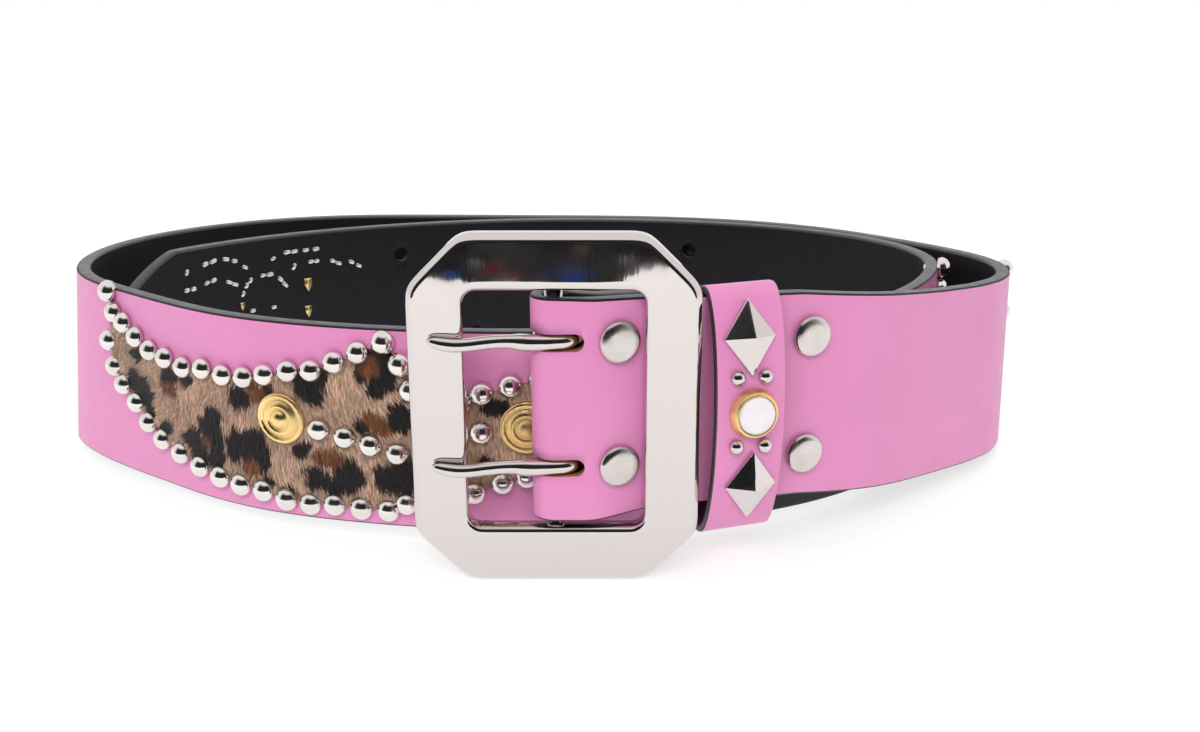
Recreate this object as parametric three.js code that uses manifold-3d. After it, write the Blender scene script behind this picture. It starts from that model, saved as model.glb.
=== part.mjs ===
// Studded belt: a wide two-ply leather strap with a double-prong buckle, lying buckled up in a coil on its lower edge.
// Millimetres, +Z up. x and y are the plan of the coil, z is the height above the surface it stands on.
import * as THREE from "three";
import { mergeVertices } from "three/addons/utils/BufferGeometryUtils.js";
import Module from "manifold-3d";

// ---- driving dimensions ----
const STRAP_WIDTH = 50;
const FACE_PLY = 2.0; // coloured leather outside
const PLY_GAP = 0.3;
const LINING_PLY = 1.5; // black leather inside
const LINING_INSET = 0.4; // the lining is this much shorter at each edge
const HALF = (FACE_PLY + PLY_GAP + LINING_PLY) / 2; // centre line to either skin
const BAR = { x: 8.89, y: -87.09 }; // centre of the buckle's centre bar in plan
const BAR_RADIUS = 2.0;
const FOLD_RADIUS = 4.45; // strap's centre line round the bar
const FLAP_LENGTH = 56; // folded-back end behind the buckle end
const FLAP_SPACING = 4.2; // centre line to centre line where the two layers lie together
const TAIL_END = 1144; // length of the route from the fold to the tip
const TIP_START = 1117.5; // the tip's corners are cut from here
const TIP_HALF = 10.4; // half width left at the very end
const BACK_Y = 89.21; // plan y of the far side, where the strap stands on the surface
const FLOOR_SLOPE = 0.0311; // the strap climbs this much toward the buckle, which it is propped on
const ROW_Z = { low: 10.8, high: 40.0 }; // the two rows of holes, rivets and prongs, above the strap's lower edge
const HOLES = { first: 939, pitch: 25.1, count: 5, radius: 2.4 };
const BUCKLE = { x: 9.14, width: 64.5, height: 81.5, chamfer: 12, bar: 12.3, barZ: 12.4, barLow: 13.6, windowRadius: 2.4, front: -91.49, thickness: 4.6, bevel: 1.3 };
const PRONG = { ring: 5.0, hole: 2.4, shank: 1.45, reach: 26.6, width: 3.2 };
const KEEPER = { at: 43.1, width: 17, wall: 2.0, top: 68.5, bottom: 8.2, bulge: 10.2, back: -6.4 };
const STUD = { pitch: 6.65, radius: 3.15, height: 2.6 };
const CONCHO = { radius: 7.0, height: 3.2 };
const RIVET = { cap: 4.9, rise: 2.3, post: 1.7, hole: 2.05, burr: 3.2 };

// ---- the strap's route, seen from above, from the fold at the buckle round to the tip ----
// at: length along the strap; bend: degrees per 100 mm; lift: extra height of the lower edge; lean: degrees the wall leans in at the top
const ROUTE = [
  { at: 0, bend: 323.73, lift: 12.0, lean: 0 },
  { at: 8, bend: 156.9, lift: 11.7, lean: 0 },
  { at: 16, bend: -40.09, lift: 11.4, lean: 0 },
  { at: 24, bend: -50.6, lift: 11.1, lean: 0 },
  { at: 40, bend: 25.73, lift: 10.3, lean: 0 },
  { at: 60, bend: 33.32, lift: 9.2, lean: 0 },
  { at: 85, bend: 72.68, lift: 5.9, lean: 0 },
  { at: 110, bend: 0.62, lift: 2.9, lean: 0 },
  { at: 128, bend: 9.35, lift: 1.2, lean: 0.8 },
  { at: 142, bend: 103.38, lift: 0.4, lean: 1.5 },
  { at: 156, bend: 172.23, lift: 0, lean: 1.5 },
  { at: 172, bend: 177.79, lift: 0, lean: 1.5 },
  { at: 190, bend: 55.3, lift: 0, lean: 0.8 },
  { at: 210, bend: 10.38, lift: 0, lean: 0 },
  { at: 235, bend: 62.12, lift: 0, lean: 0 },
  { at: 265, bend: 54.73, lift: 0, lean: 0 },
  { at: 300, bend: 33.26, lift: 0, lean: 0 },
  { at: 340, bend: -2.59, lift: 0, lean: 0 },
  { at: 375, bend: 4.4, lift: 0, lean: 0 },
  { at: 400, bend: 53.09, lift: 0, lean: 0 },
  { at: 425, bend: 77.59, lift: 0, lean: 0 },
  { at: 450, bend: 72.55, lift: 0, lean: 1 },
  { at: 480, bend: 94.38, lift: 0, lean: 4 },
  { at: 510, bend: 94.65, lift: 0, lean: 6 },
  { at: 530, bend: 109.01, lift: 0, lean: 6 },
  { at: 545, bend: 88.65, lift: 0, lean: 4 },
  { at: 560, bend: 12.62, lift: 0, lean: 3 },
  { at: 580, bend: 10.25, lift: 0, lean: 1.5 },
  { at: 605, bend: 67.02, lift: 0, lean: 0.5 },
  { at: 640, bend: 30.81, lift: 0, lean: 0 },
  { at: 680, bend: 35.1, lift: 0, lean: 0 },
  { at: 715, bend: 35.27, lift: 0, lean: 0 },
  { at: 750, bend: 55.4, lift: 0, lean: 0 },
  { at: 785, bend: 67.55, lift: 0, lean: 0 },
  { at: 815, bend: 46.52, lift: 0, lean: 0 },
  { at: 840, bend: 129.99, lift: 0, lean: 0 },
  { at: 860, bend: 121.84, lift: 0, lean: 0 },
  { at: 880, bend: 71.6, lift: 0, lean: 0 },
  { at: 905, bend: 62.1, lift: 0, lean: 0 },
  { at: 935, bend: 37.65, lift: 0, lean: 0 },
  { at: 970, bend: 35.86, lift: 0, lean: 0 },
  { at: 1005, bend: 34.0, lift: 0, lean: 0 },
  { at: 1030, bend: 36.0, lift: 0, lean: 0 },
  { at: 1060, bend: 35.81, lift: 0, lean: 0 },
  { at: 1095, bend: 47.33, lift: 0, lean: 0 },
  { at: 1145, bend: 76.51, lift: 0, lean: 0 },
];

// ---- the stud motif, left half: d is the length from the motif's middle, z the height above the strap's lower edge ----
const ARCH = { name: "arch", count: 16, path: [ { d: -135, z: 46.6 }, { d: -127.5, z: 41 }, { d: -116, z: 36.6 }, { d: -101, z: 34.6 }, { d: -85, z: 34.8 }, { d: -70, z: 37.3 }, { d: -56, z: 41 }, { d: -43.5, z: 46.6 } ] };
const DIP = { name: "dip", half: 8, path: [ { d: -39.5, z: 41.3 }, { d: -36.8, z: 34.6 }, { d: -31.5, z: 30.6 }, { d: -25.5, z: 32 }, { d: -20, z: 35 }, { d: -12, z: 37.6 }, { d: 0, z: 39.8 } ] };
const BOTTOM = { name: "bottom", half: 23, path: [ { d: -134.5, z: 35.2 }, { d: -130.5, z: 28.5 }, { d: -122, z: 21.3 }, { d: -111, z: 13.3 }, { d: -97, z: 9 }, { d: -80, z: 6.3 }, { d: -62, z: 4.6 }, { d: -46, z: 4.5 }, { d: -39, z: 6.3 }, { d: -30, z: 8 }, { d: -22.5, z: 10 }, { d: -10, z: 14.5 }, { d: 0, z: 16 } ] };
const MIDDLE = { name: "middle", count: 7, path: [ { d: -60, z: 24 }, { d: -40.5, z: 19.5 }, { d: -33.5, z: 19.2 }, { d: -27, z: 21.5 }, { d: -20.3, z: 25 } ] };
const CONCHOS = [ { d: -70, z: 26 }, { d: -10, z: 27 }, { d: 10, z: 27 }, { d: 70, z: 26 } ];
// hair-on hide patch inside the motif: low and high edge at each d
const HIDE = [
  { d: -128, low: 33, high: 36.4 }, { d: -122, low: 26.6, high: 34.8 }, { d: -115, low: 21.6, high: 32.7 }, { d: -108, low: 17.2, high: 31.6 }, { d: -100, low: 14, high: 30.9 },
  { d: -85, low: 11, high: 31.1 }, { d: -70, low: 9.2, high: 33.4 }, { d: -56, low: 8.2, high: 36.6 }, { d: -49, low: 8.1, high: 38.8 }, { d: -45.5, low: 8.2, high: 39.2 },
  { d: -42, low: 9, high: 34 }, { d: -38.5, low: 10.4, high: 28.6 }, { d: -35, low: 11, high: 26.9 }, { d: -31, low: 11.8, high: 26.6 }, { d: -25, low: 13.4, high: 27.6 },
  { d: -20, low: 15.2, high: 30.4 }, { d: -12, low: 18, high: 33.6 }, { d: 0, low: 19.8, high: 36 },
];
// The front motif stops under the buckle end, where the layers lie close, and starts again past the keeper with its end studs.
const MOTIFS = [
  { name: "front", middle: 693.5, fine: true, stop: 25, dipCount: 11, bottomCount: 26, endHigh: 6, endLow: 5 },
  { name: "back", middle: 298, fine: false, stop: 128 },
];
// the smaller motif at the tip, drawn in full from the tip inward
const TIP_ROWS = [
  { name: "tip_outer_high", count: 9, path: [ { d: 1116.5, z: 42.8 }, { d: 1109, z: 44.8 }, { d: 1100.5, z: 44 }, { d: 1094, z: 39.5 }, { d: 1087.5, z: 39.5 }, { d: 1081, z: 44 }, { d: 1072, z: 45 }, { d: 1064, z: 42 } ] },
  { name: "tip_inner_high", count: 3, path: [ { d: 1114, z: 36 }, { d: 1108, z: 37.8 }, { d: 1101.5, z: 36.6 } ] },
  { name: "tip_inner_low", count: 3, path: [ { d: 1114, z: 14 }, { d: 1108, z: 12.2 }, { d: 1101.5, z: 13.4 } ] },
  { name: "tip_outer_low", count: 9, path: [ { d: 1116.5, z: 7.2 }, { d: 1109, z: 5.2 }, { d: 1100.5, z: 6 }, { d: 1094, z: 10.5 }, { d: 1087.5, z: 10.5 }, { d: 1081, z: 6 }, { d: 1072, z: 5 }, { d: 1064, z: 8 } ] },
];
const TIP_CONCHO = { d: 1074, z: 27 };
// trims on the keeper's front: x along the strap from the keeper's middle, z the height
const DIAMOND = { halfWidth: 6.3, halfHeight: 8.7, rim: 1.1, peak: 3.6 };
const BALL_RADIUS = 1.65;
const KEEPER_TRIM = [
  { name: "diamond_high", kind: "diamond", x: -0.3, z: 57.2 }, { name: "diamond_low", kind: "diamond", x: 0.8, z: 22.2 },
  { name: "ball_high_left", kind: "ball", x: -3.5, z: 48.5 }, { name: "ball_high_right", kind: "ball", x: 3.2, z: 48.3 },
  { name: "ball_low_left", kind: "ball", x: -3.5, z: 32.4 }, { name: "ball_low_right", kind: "ball", x: 3.5, z: 31.9 },
];
const STONE = { x: 0.4, z: 40.0 };

// ---- materials ----
const leather = new THREE.MeshStandardMaterial({ color: 0xe48fc3, roughness: 0.55 });
const black = new THREE.MeshStandardMaterial({ color: 0x1b1b1e, roughness: 0.7 });
const chrome = new THREE.MeshStandardMaterial({ color: 0xe6e2dd, roughness: 0.15, metalness: 1 });
const gold = new THREE.MeshStandardMaterial({ color: 0xd8b56a, roughness: 0.25, metalness: 1 });
const hide = new THREE.MeshStandardMaterial({ color: 0xcfa48a, roughness: 0.9 });
const milky = new THREE.MeshStandardMaterial({ color: 0xf3ece8, roughness: 0.2 });

// ---- small helpers ----
const rad = (deg) => (deg * Math.PI) / 180;
const mix = (a, b, t) => a + (b - a) * t;
const smooth = (t) => { const c = Math.min(1, Math.max(0, t)); return c * c * (3 - 2 * c); };
function along(table, key, at, column) {
  if (at <= table[0][key]) return table[0][column];
  for (let i = 1; i < table.length; i++)
    if (at <= table[i][key]) return mix(table[i - 1][column], table[i][column], (at - table[i - 1][key]) / (table[i][key] - table[i - 1][key]));
  return table[table.length - 1][column];
}

// ---- walk the route once, a millimetre at a time ----
const WALK = [];
{
  let x = BAR.x, y = BAR.y - FOLD_RADIUS, heading = 0;
  for (let at = 0; at <= TAIL_END; at++) {
    WALK.push({ at, x, y, heading });
    const turn = rad((along(ROUTE, "at", at, "bend") + along(ROUTE, "at", at + 1, "bend")) / 200);
    x += Math.cos(heading + turn / 2);
    y += Math.sin(heading + turn / 2);
    heading += turn;
  }
}

// A place on the strap's centre line: its plan point, its outward direction (away from the lining), the lower edge's height and the lean.
function stationAt(at) {
  const w = { x: along(WALK, "at", at, "x"), y: along(WALK, "at", at, "y"), heading: along(WALK, "at", at, "heading") };
  return { ...w, out: [Math.sin(w.heading), -Math.cos(w.heading)], base: FLOOR_SLOPE * (BACK_Y - w.y) + along(ROUTE, "at", at, "lift"), lean: rad(along(ROUTE, "at", at, "lean")) };
}
function foldStation(angle) {
  const a = rad(90 + angle); // 0 is behind the bar, 180 in front of it
  const s = stationAt(0);
  return { x: BAR.x + FOLD_RADIUS * Math.cos(a), y: BAR.y + FOLD_RADIUS * Math.sin(a), out: [Math.cos(a), Math.sin(a)], base: s.base, lean: 0, at: 0 };
}
function flapStation(f) {
  const s = stationAt(f), gap = mix(2 * FOLD_RADIUS, FLAP_SPACING, smooth(f / 13));
  return { x: s.x - s.out[0] * gap, y: s.y - s.out[1] * gap, out: [-s.out[0], -s.out[1]], base: s.base, lean: 0, at: 0 };
}
// A point at offset o outward from the centre line and z above the lower edge.
function onStrap(s, o, z) {
  const push = o + (STRAP_WIDTH - z) * Math.tan(s.lean);
  return new THREE.Vector3(s.x + s.out[0] * push, s.y + s.out[1] * push, s.base + z);
}

// ---- solids ----
const wasm = await Module();
wasm.setup();
function toSolid(geometry) {
  const g = geometry.clone();
  g.deleteAttribute("normal");
  g.deleteAttribute("uv");
  const m = mergeVertices(g, 1e-4);
  return new wasm.Manifold(new wasm.Mesh({ numProp: 3, vertProperties: new Float32Array(m.attributes.position.array), triVerts: new Uint32Array(m.index.array) }));
}
function toGeometry(solid) {
  const m = solid.getMesh();
  const g = new THREE.BufferGeometry();
  g.setAttribute("position", new THREE.BufferAttribute(new Float32Array(m.vertProperties), 3));
  g.setIndex(new THREE.BufferAttribute(new Uint32Array(m.triVerts), 1));
  g.computeVertexNormals();
  return g;
}
// A closed skin through rings of equally many points, capped flat at both ends.
function loft(rings) {
  const n = rings[0].length, points = rings.flat(), index = [];
  for (let r = 0; r + 1 < rings.length; r++)
    for (let i = 0; i < n; i++) {
      const a = r * n + i, b = r * n + ((i + 1) % n);
      index.push(a, b, b + n, a, b + n, a + n);
    }
  for (let i = 1; i + 1 < n; i++) {
    index.push(0, i + 1, i);
    const e = (rings.length - 1) * n;
    index.push(e, e + i, e + i + 1);
  }
  const g = new THREE.BufferGeometry().setFromPoints(points);
  g.setIndex(index);
  return g;
}
function rightWayOut(geometry) {
  const p = geometry.attributes.position, ix = geometry.index.array;
  let volume = 0;
  const a = new THREE.Vector3(), b = new THREE.Vector3(), c = new THREE.Vector3();
  for (let i = 0; i < ix.length; i += 3) {
    a.fromBufferAttribute(p, ix[i]); b.fromBufferAttribute(p, ix[i + 1]); c.fromBufferAttribute(p, ix[i + 2]);
    volume += a.dot(b.cross(c));
  }
  if (volume < 0) for (let i = 0; i < ix.length; i += 3) [ix[i + 1], ix[i + 2]] = [ix[i + 2], ix[i + 1]];
  return geometry;
}

const belt = new THREE.Group();
function add(name, geometry, material) {
  const mesh = new THREE.Mesh(geometry, material);
  mesh.name = name;
  belt.add(mesh);
  return mesh;
}

// ---- strap plies ----
const STATIONS = [];
for (let f = FLAP_LENGTH; f > 0.5; f -= 5.6) STATIONS.push(flapStation(f));
for (let a = 0; a < 180; a += 18) STATIONS.push(foldStation(a));
for (let at = 0; at < TIP_START - 4; at += at < 24 ? 4 : Math.abs(along(ROUTE, "at", at + 5, "bend")) > 80 ? 5.6 : 9) STATIONS.push(stationAt(at)); // shorter steps in the tight turns
for (const at of [TIP_START, 1123, 1130, 1137, TAIL_END]) STATIONS.push({ ...stationAt(at), tip: at });
function halfWidthAt(s) {
  if (!s.tip) return STRAP_WIDTH / 2;
  return mix(STRAP_WIDTH / 2, TIP_HALF, (s.tip - TIP_START) / (TAIL_END - TIP_START));
}
function ply(outer, inner, inset) {
  return rightWayOut(loft(STATIONS.map((s) => {
    const h = halfWidthAt(s) - inset, mid = STRAP_WIDTH / 2;
    return [onStrap(s, outer, mid - h), onStrap(s, outer, mid + h), onStrap(s, inner, mid + h), onStrap(s, inner, mid - h)];
  })));
}
// A round cutter through the strap at a length along it.
function punch(at, z, radius, from, to) {
  const s = stationAt(at), a = onStrap(s, from, z), b = onStrap(s, to, z);
  const g = new THREE.CylinderGeometry(radius, radius, a.distanceTo(b), 8);
  g.applyQuaternion(new THREE.Quaternion().setFromUnitVectors(new THREE.Vector3(0, 1, 0), b.clone().sub(a).normalize()));
  const c = a.clone().add(b).multiplyScalar(0.5);
  g.translate(c.x, c.y, c.z);
  return toSolid(g);
}
const RIVETS = [
  { name: "rivet_buckle_high", at: 14.2, z: 40.4 }, { name: "rivet_buckle_low", at: 14.2, z: 11.3 },
  { name: "rivet_keeper_high", at: 62, z: 39.8 }, { name: "rivet_keeper_low", at: 61.4, z: 10.8 },
];
const cutters = [];
for (let i = 0; i < HOLES.count; i++)
  for (const z of [ROW_Z.low, ROW_Z.high]) cutters.push(punch(HOLES.first + i * HOLES.pitch, z, HOLES.radius, -3, 3));
for (const r of RIVETS) cutters.push(punch(r.at, r.z, RIVET.hole, -7.5, 3.5));
// oblong slots in the fold, one for each prong
for (const z of [ROW_Z.low, ROW_Z.high]) {
  const g = new THREE.BoxGeometry(17.4, 16.4, PRONG.width + 2.2);
  g.translate(BAR.x - 0.9, BAR.y - 0.4, stationAt(0).base + z);
  cutters.push(toSolid(g));
}
for (const [name, outer, inner, inset, material] of [
  ["strap_face", HALF, HALF - FACE_PLY, 0, leather],
  ["strap_lining", HALF - FACE_PLY - PLY_GAP, -HALF, LINING_INSET, black],
]) {
  let solid = toSolid(ply(outer, inner, inset));
  for (const c of cutters) solid = solid.subtract(c);
  add(name, toGeometry(solid), material);
}

// ---- buckle: frame and centre bar are one casting ----
{
  const w = BUCKLE.width / 2 - BUCKLE.bevel, h = BUCKLE.height / 2 - BUCKLE.bevel, c = BUCKLE.chamfer - 0.6 * BUCKLE.bevel;
  const outline = new THREE.Shape([[-w + c, -h], [w - c, -h], [w, -h + c], [w, h - c], [w - c, h], [-w + c, h], [-w, h - c], [-w, -h + c]].map(([x, y]) => new THREE.Vector2(x, y)));
  const ww = BUCKLE.width / 2 - BUCKLE.bar + BUCKLE.bevel, wh = BUCKLE.height / 2 - BUCKLE.barZ + BUCKLE.bevel, wl = BUCKLE.height / 2 - BUCKLE.barLow + BUCKLE.bevel, r = BUCKLE.windowRadius + BUCKLE.bevel;
  const hole = new THREE.Path();
  hole.moveTo(-ww + r, -wl);
  hole.lineTo(ww - r, -wl); hole.absarc(ww - r, -wl + r, r, -Math.PI / 2, 0);
  hole.lineTo(ww, wh - r); hole.absarc(ww - r, wh - r, r, 0, Math.PI / 2);
  hole.lineTo(-ww + r, wh); hole.absarc(-ww + r, wh - r, r, Math.PI / 2, Math.PI);
  hole.lineTo(-ww, -wl + r); hole.absarc(-ww + r, -wl + r, r, Math.PI, 1.5 * Math.PI);
  outline.holes.push(hole);
  const g = new THREE.ExtrudeGeometry(outline, { depth: BUCKLE.thickness - 2 * BUCKLE.bevel, bevelEnabled: true, bevelThickness: BUCKLE.bevel, bevelSize: BUCKLE.bevel, bevelSegments: 2, curveSegments: 3 });
  g.rotateX(Math.PI / 2); // outline stands up, its depth runs toward the viewer
  g.translate(BUCKLE.x, BUCKLE.front + BUCKLE.thickness - BUCKLE.bevel, BUCKLE.height / 2);
  const bar = new THREE.CylinderGeometry(BAR_RADIUS, BAR_RADIUS, BUCKLE.height - BUCKLE.barZ, 16);
  bar.rotateX(Math.PI / 2);
  bar.translate(BAR.x, BAR.y, BUCKLE.height / 2);
  add("buckle_frame", toGeometry(toSolid(g).add(toSolid(bar))), chrome);
}

// ---- prongs: a ring round the centre bar, and a wavy shank whose tip rests on the frame's left bar ----
// run is the distance from the bar's centre toward the tip, front the distance in front of it, half the shank's half thickness
const SHANK = [
  { run: -1.5, front: 3.6, half: 1.3 }, { run: 2, front: 3.7, half: 1.5 }, { run: 6, front: 4.3, half: 1.6 }, { run: 10, front: 5.4, half: 1.55 }, { run: 15, front: 6.2, half: 1.5 },
  { run: 20, front: 6.4, half: 1.45 }, { run: 24, front: 6.1, half: 1.35 }, { run: 26.6, front: 6.0, half: 1.0 },
];
for (const [name, z] of [["prong_high", ROW_Z.high], ["prong_low", ROW_Z.low]]) {
  const height = stationAt(0).base + z;
  const ring = new THREE.LatheGeometry([[PRONG.hole, -1.5], [PRONG.ring, -1.5], [PRONG.ring, 1.5], [PRONG.hole, 1.5], [PRONG.hole, -1.5]].map(([x, y]) => new THREE.Vector2(x, y)), 20);
  ring.rotateX(Math.PI / 2);
  const shank = rightWayOut(loft(SHANK.map((p) => Array.from({ length: 8 }, (_, i) => {
    const a = rad(22.5 + 45 * i);
    return new THREE.Vector3(-p.run, -p.front + p.half * 1.08 * Math.cos(a), p.half * 1.08 * Math.sin(a));
  }))));
  const solid = toSolid(ring).add(toSolid(shank));
  const bore = new THREE.CylinderGeometry(PRONG.hole, PRONG.hole, 6, 20);
  bore.rotateX(Math.PI / 2);
  const mesh = add(name, toGeometry(solid.subtract(toSolid(bore))), chrome);
  mesh.position.set(BAR.x, BAR.y, height);
}

// ---- keeper: a bowed leather loop round the strap end ----
const keeperStation = stationAt(KEEPER.at);
const keeper = new THREE.Group(); // its x runs along the strap, its -y outward, its z up
keeper.position.set(keeperStation.x, keeperStation.y, 0);
keeper.rotation.z = keeperStation.heading;
belt.add(keeper);
const keeperMid = (KEEPER.top + KEEPER.bottom) / 2, keeperHalf = (KEEPER.top - KEEPER.bottom) / 2;
// outward distance of the bowed front at a height, for a skin set in by `inset`
const bow = (z, inset) => 1.6 + (KEEPER.bulge - 1.6 - inset) * Math.sqrt(Math.max(0, 1 - ((z - keeperMid) / (keeperHalf - inset)) ** 2));
function keeperLoop(inset) {
  const pts = [], back = KEEPER.back - KEEPER.wall + inset, h = keeperHalf - inset, r = 3.4 - inset;
  for (let i = 0; i <= 16; i++) {
    const z = keeperMid + h * Math.sin(rad(-90 + (180 * i) / 16));
    pts.push([z, bow(z, inset)]);
  }
  for (let i = 0; i <= 4; i++) pts.push([keeperMid + h - r + r * Math.cos(rad(22.5 * i)), back + r - r * Math.sin(rad(22.5 * i))]);
  for (let i = 4; i >= 0; i--) pts.push([keeperMid - h + r - r * Math.cos(rad(22.5 * i)), back + r - r * Math.sin(rad(22.5 * i))]);
  return pts;
}
{
  const shape = new THREE.Shape(keeperLoop(0).map(([z, o]) => new THREE.Vector2(o, z)));
  shape.holes.push(new THREE.Path(keeperLoop(KEEPER.wall).map(([z, o]) => new THREE.Vector2(o, z))));
  const g = new THREE.ExtrudeGeometry(shape, { depth: KEEPER.width, bevelEnabled: false });
  g.translate(0, 0, -KEEPER.width / 2);
  // shape x (outward) -> -y, shape y (height) -> z, depth -> x
  g.applyMatrix4(new THREE.Matrix4().set(0, 0, 1, 0, -1, 0, 0, 0, 0, 1, 0, 0, 0, 0, 0, 1));
  const mesh = new THREE.Mesh(rightWayOut(toGeometryKeep(g)), leather);
  mesh.name = "keeper";
  keeper.add(mesh);
}
function toGeometryKeep(g) {
  const c = g.clone();
  c.deleteAttribute("normal");
  c.deleteAttribute("uv");
  return mergeVertices(c, 1e-4);
}
// things that sit on the keeper's front: placed at a height, turned to the bowed surface there
function onKeeper(name, geometry, material, x, z, sink) {
  const o = bow(z, 0), slope = Math.atan2(bow(z + 1, 0) - bow(z - 1, 0), 2);
  const holder = new THREE.Group();
  holder.position.set(x, -o, z);
  holder.rotation.x = slope; // local -y is outward
  const mesh = new THREE.Mesh(geometry, material);
  mesh.name = name;
  mesh.position.y = -sink;
  holder.add(mesh);
  keeper.add(holder);
  return mesh;
}
for (const trim of KEEPER_TRIM) {
  if (trim.kind === "diamond") {
    const rim = (k, y) => [[DIAMOND.halfWidth * k, 0], [0, DIAMOND.halfHeight * k], [-DIAMOND.halfWidth * k, 0], [0, -DIAMOND.halfHeight * k]].map(([x, h]) => new THREE.Vector3(x, y, h));
    onKeeper(trim.name, rightWayOut(loft([rim(1, 0), rim(1, -DIAMOND.rim), rim(0.06, -DIAMOND.peak)])), chrome, trim.x, trim.z, 0.75);
  } else {
    const g = new THREE.SphereGeometry(BALL_RADIUS, 8, 5);
    g.scale(1, 0.85, 1);
    onKeeper(trim.name, g, chrome, trim.x, trim.z, 1.75);
  }
}
{
  const setting = new THREE.LatheGeometry([[0, 0], [6.1, 0], [6.1, 1.5], [5.7, 2.2], [5.0, 2.3], [4.85, 1.0], [0, 1.0]].map(([x, y]) => new THREE.Vector2(x, y)), 20);
  setting.rotateX(Math.PI);
  onKeeper("stone_setting", setting, gold, STONE.x, STONE.z, 0.4);
  const stone = new THREE.LatheGeometry([[0, 0], [4.5, 0], [4.5, 1.2], [3.9, 2.1], [2.4, 2.75], [0, 3.0]].map(([x, y]) => new THREE.Vector2(x, y)), 18);
  stone.rotateX(Math.PI);
  onKeeper("keeper_stone", stone, milky, STONE.x, STONE.z, 0.4 + 1.35);
}

// ---- rivets: cap in front, post through both layers, burr behind ----
for (const r of RIVETS) {
  const s = stationAt(r.at), f = flapStation(r.at);
  const depth = Math.hypot(f.x - s.x, f.y - s.y) + 2 * HALF; // skin to skin through both layers
  const back = -(depth + 0.6);
  const profile = [[0, back - 0.9], [RIVET.burr, back - 0.9], [RIVET.burr, back], [RIVET.post, back], [RIVET.post, 0.45], [RIVET.cap, 0.45], [RIVET.cap, 1.2], [RIVET.cap - 0.9, RIVET.rise - 0.3], [RIVET.cap - 2.2, RIVET.rise], [0, RIVET.rise]];
  const g = new THREE.LatheGeometry(profile.map(([x, y]) => new THREE.Vector2(x, y)), 12);
  const mesh = add(r.name, g, chrome);
  const p = onStrap(s, HALF, r.z);
  mesh.position.copy(p);
  mesh.rotation.z = Math.atan2(s.out[1], s.out[0]) - Math.PI / 2;
}

// ---- stud rows ----
// Evenly spaced places along a row's path.
function spaced(path, count) {
  const length = [0];
  for (let i = 1; i < path.length; i++) length.push(length[i - 1] + Math.hypot(path[i].d - path[i - 1].d, path[i].z - path[i - 1].z));
  const total = length[length.length - 1];
  const at = (t) => {
    let i = 1;
    while (i < path.length - 1 && length[i] < t) i++;
    const u = (t - length[i - 1]) / (length[i] - length[i - 1]);
    return { d: mix(path[i - 1].d, path[i].d, u), z: mix(path[i - 1].z, path[i].z, u) };
  };
  return Array.from({ length: count }, (_, k) => at((total * k) / (count - 1)));
}
const mirrored = (path) => path.map((p) => ({ d: -p.d, z: p.z })).reverse();
// One solid per row: low domes joined by a thin web between neighbours.
function studRow(studs, middle, base, fine) {
  const sections = [];
  const push = (p, dir, half, height) => sections.push({ p, dir, half, height });
  studs.forEach((p, i) => {
    const q0 = studs[Math.max(0, i - 1)], q1 = studs[Math.min(studs.length - 1, i + 1)];
    const len = Math.hypot(q1.d - q0.d, q1.z - q0.z), dir = { d: (q1.d - q0.d) / len, z: (q1.z - q0.z) / len };
    const step = (k) => ({ d: p.d + dir.d * k, z: p.z + dir.z * k });
    if (i === 0) push(step(-STUD.radius * 0.95), dir, 0.9, 0.5);
    if (fine) push(step(-1.7), dir, 2.6, 1.7);
    push(p, dir, STUD.radius, STUD.height);
    if (fine) push(step(1.7), dir, 2.6, 1.7);
    if (i + 1 < studs.length) {
      const n = studs[i + 1], l = Math.hypot(n.d - p.d, n.z - p.z);
      push({ d: (p.d + n.d) / 2, z: (p.z + n.z) / 2 }, { d: (n.d - p.d) / l, z: (n.z - p.z) / l }, 0.9, 0.5);
    } else push(step(STUD.radius * 0.95), dir, 0.9, 0.5);
  });
  return rightWayOut(loft(sections.map(({ p, dir, half, height }) => {
    const side = { d: -dir.z, z: dir.d };
    const place = (k, o) => onStrap(stationAt(middle + p.d + side.d * k), o, p.z + side.z * k);
    return [place(-half, base), place(-half * 0.45, base + height), place(half * 0.45, base + height), place(half, base)];
  })));
}
const ON_LEATHER = HALF + 0.3, HIDE_LOW = HALF + 0.2, HIDE_HIGH = HALF + 0.9, ON_HIDE = HIDE_HIGH + 0.3;
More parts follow.
